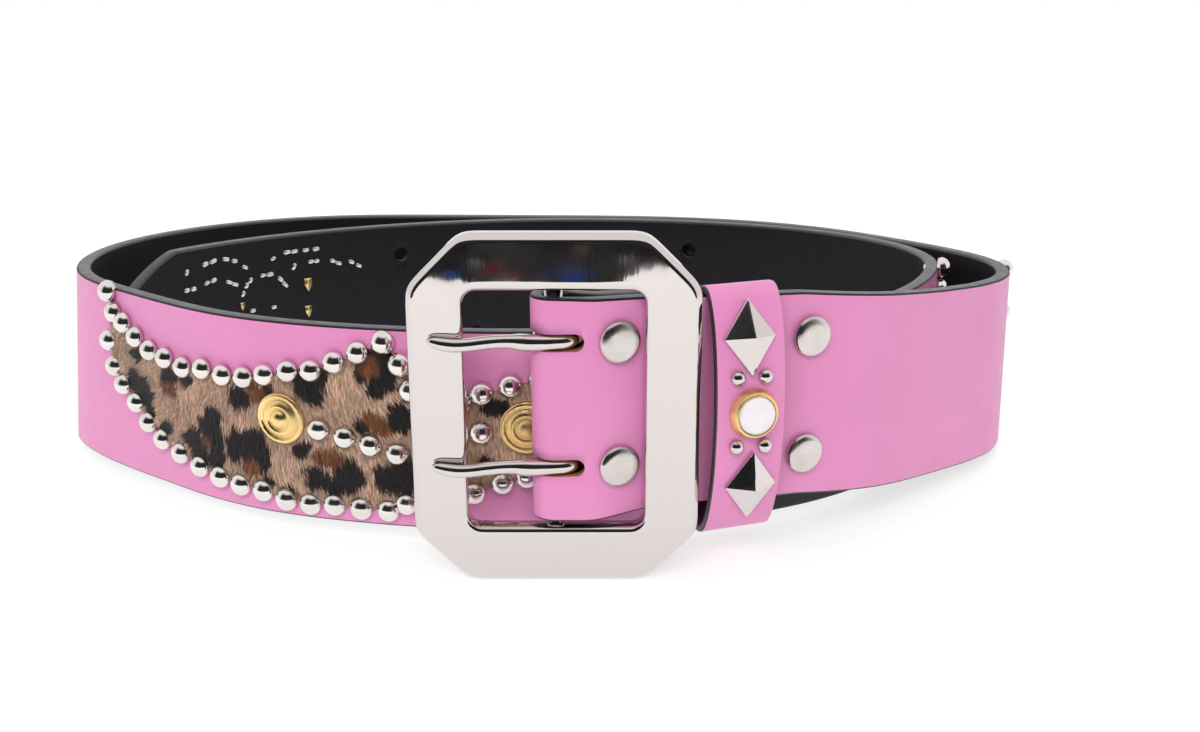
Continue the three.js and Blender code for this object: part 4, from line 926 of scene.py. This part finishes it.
# ---------------------------------------------------------------- studio
def build_studio():
    cam = bpy.data.cameras.new("camera")
    cam.sensor_width, cam.lens = 36.0, 39.0
    cam.clip_start, cam.clip_end = 0.01, 20
    ob = link(bpy.data.objects.new("camera", cam))
    ob.location = (19.09 * MM, -361.755 * MM, 139.08 * MM)
    ob.rotation_euler = (math.radians(90 - 17.8), 0, 0)
    bpy.context.scene.camera = ob

    floor_m, nt, bs = material("floor", (0.42, 0.42, 0.42), 0.6)
    bs.inputs["Specular IOR Level"].default_value = 0.1
    bs.inputs["Emission Color"].default_value = (1, 1, 1, 1)
    bs.inputs["Emission Strength"].default_value = 0.66
    # the sheet's torn front edge shows in the buckle's top bar
    front = [(-1500, -395), (-300, -395), (-140, -388), (-75, -392), (-58, -383), (-49, -376), (-44, -381), (-38, -372), (-33, -366), (-28, -370), (-20, -372), (-14, -364), (-8, -367), (0, -360), (8, -358), (16, -356), (22, -363),
             (27, -372), (31, -384), (35, -390), (38, -402), (42, -398), (46, -408), (50, -400), (56, -411), (63, -404), (75, -409), (140, -400), (300, -395), (1500, -395)]
    pts = [(x * MM, y * MM, -0.0002) for x, y in front] + [(1.5, 3.0, -0.0002), (-1.5, 3.0, -0.0002)]
    me = bpy.data.meshes.new("floor")
    me.from_pydata(pts, [], [tuple(range(len(pts)))])
    me.materials.append(floor_m)
    fl = link(bpy.data.objects.new("floor", me))

    world = bpy.data.worlds.new("studio")
    bpy.context.scene.world = world
    world.use_nodes = True
    nt = world.node_tree
    nt.nodes.clear()
    out = node(nt, "ShaderNodeOutputWorld")
    tc = node(nt, "ShaderNodeTexCoord")
    sep = node(nt, "ShaderNodeSeparateXYZ")
    nt.links.new(tc.outputs["Generated"], sep.inputs[0])

    def math_node(op, a, b=None):
        n = node(nt, "ShaderNodeMath", operation=op)
        for i, v in enumerate((a, b)):
            if v is None:
                continue
            if isinstance(v, (int, float)):
                n.inputs[i].default_value = v
            else:
                nt.links.new(v, n.inputs[i])
        return n.outputs[0]

    def soft(src, lo, hi):
        r = span(nt, src, lo, hi)
        r.interpolation_type = "SMOOTHSTEP"
        return r.outputs["Result"]

    el = math_node("MULTIPLY", math_node("ARCSINE", sep.outputs["Z"]), 57.2958)
    az = math_node("MULTIPLY", math_node("ARCTAN2", sep.outputs["X"], math_node("MULTIPLY", sep.outputs["Y"], -1.0)), 57.2958)
    nz = node(nt, "ShaderNodeTexNoise", Scale=22.0, Detail=4.0)
    nt.links.new(tc.outputs["Generated"], nz.inputs["Vector"])
    ragged = math_node("MULTIPLY", math_node("SUBTRACT", nz.outputs["Fac"], 0.5), 1.6)
    el2 = math_node("ADD", el, ragged)
    front = math_node("MULTIPLY", soft(el2, -75.0, -70.0), math_node("SUBTRACT", 1.0, soft(el, 40.0, 64.0)))
    wide = math_node("SUBTRACT", 1.0, soft(math_node("ABSOLUTE", az), 52.0, 78.0))
    dark = math_node("MULTIPLY", front, wide)
    # a dim room behind the camera: mottled grey with a few dull coloured things near the table's edge
    room = ramp(nt, nz.outputs["Fac"], [(0.35, (0.012, 0.012, 0.013)), (0.6, (0.035, 0.035, 0.036)), (0.78, (0.10, 0.098, 0.095))])
    col = room.outputs["Color"]
    for a0, e0, ra, re, c in ((-6.7, -13.9, 0.45, 0.32, (0.03, 0.08, 0.26)), (-1.1, -13.7, 0.75, 0.4, (0.015, 0.05, 0.22)), (-2.2, -13.6, 0.5, 0.35, (0.015, 0.025, 0.08)), (-4.9, -13.2, 0.42, 0.34, (0.13, 0.02, 0.03)), (-4.0, -13.7, 0.65, 0.26, (0.12, 0.03, 0.03)), (-0.8, -12.75, 0.4, 0.25, (0.11, 0.075, 0.045)), (1.15, -13.25, 0.16, 0.14, (0.5, 0.5, 0.5)), (-5.6, -13.0, 0.4, 0.2, (0.1, 0.1, 0.11))):
        dx = math_node("DIVIDE", math_node("SUBTRACT", az, a0), ra)
        dy = math_node("DIVIDE", math_node("SUBTRACT", el2, e0), re)
        rr = math_node("SQRT", math_node("ADD", math_node("MULTIPLY", dx, dx), math_node("MULTIPLY", dy, dy)))
        fac = math_node("SUBTRACT", 1.0, soft(rr, 0.4, 1.1))
        mx = node(nt, "ShaderNodeMix", data_type="RGBA")
        nt.links.new(fac, mx.inputs[0])
        nt.links.new(col, mx.inputs[6])
        mx.inputs[7].default_value = (*c, 1)
        col = mx.outputs[2]
    mx = node(nt, "ShaderNodeMix", data_type="RGBA")
    nt.links.new(dark, mx.inputs[0])
    mx.inputs[6].default_value = (1.0, 0.99, 0.98, 1)
    nt.links.new(col, mx.inputs[7])
    bg = node(nt, "ShaderNodeBackground", Strength=0.95)
    nt.links.new(mx.outputs[2], bg.inputs["Color"])
    white = node(nt, "ShaderNodeBackground", Strength=1.0)
    white.inputs["Color"].default_value = (1, 1, 1, 1)
    lp = node(nt, "ShaderNodeLightPath")
    ms = node(nt, "ShaderNodeMixShader")
    nt.links.new(lp.outputs["Is Camera Ray"], ms.inputs[0])
    nt.links.new(bg.outputs[0], ms.inputs[1])
    nt.links.new(white.outputs[0], ms.inputs[2])
    nt.links.new(ms.outputs[0], out.inputs["Surface"])

    def area(name, loc, target, size, power):
        li = bpy.data.lights.new(name, "AREA")
        li.shape, li.size, li.size_y, li.energy = "RECTANGLE", size[0], size[1], power
        o = link(bpy.data.objects.new(name, li))
        o.location = loc
        o.rotation_euler = (Vector(target) - Vector(loc)).to_track_quat("-Z", "Y").to_euler()
        o.visible_glossy = False
        return o

    area("key", (-0.1, -0.95, 0.75), (0, 0, 0.03), (0.9, 0.5), 9.6)
    bpy.context.scene.view_settings.view_transform = "Standard"


build_studio()
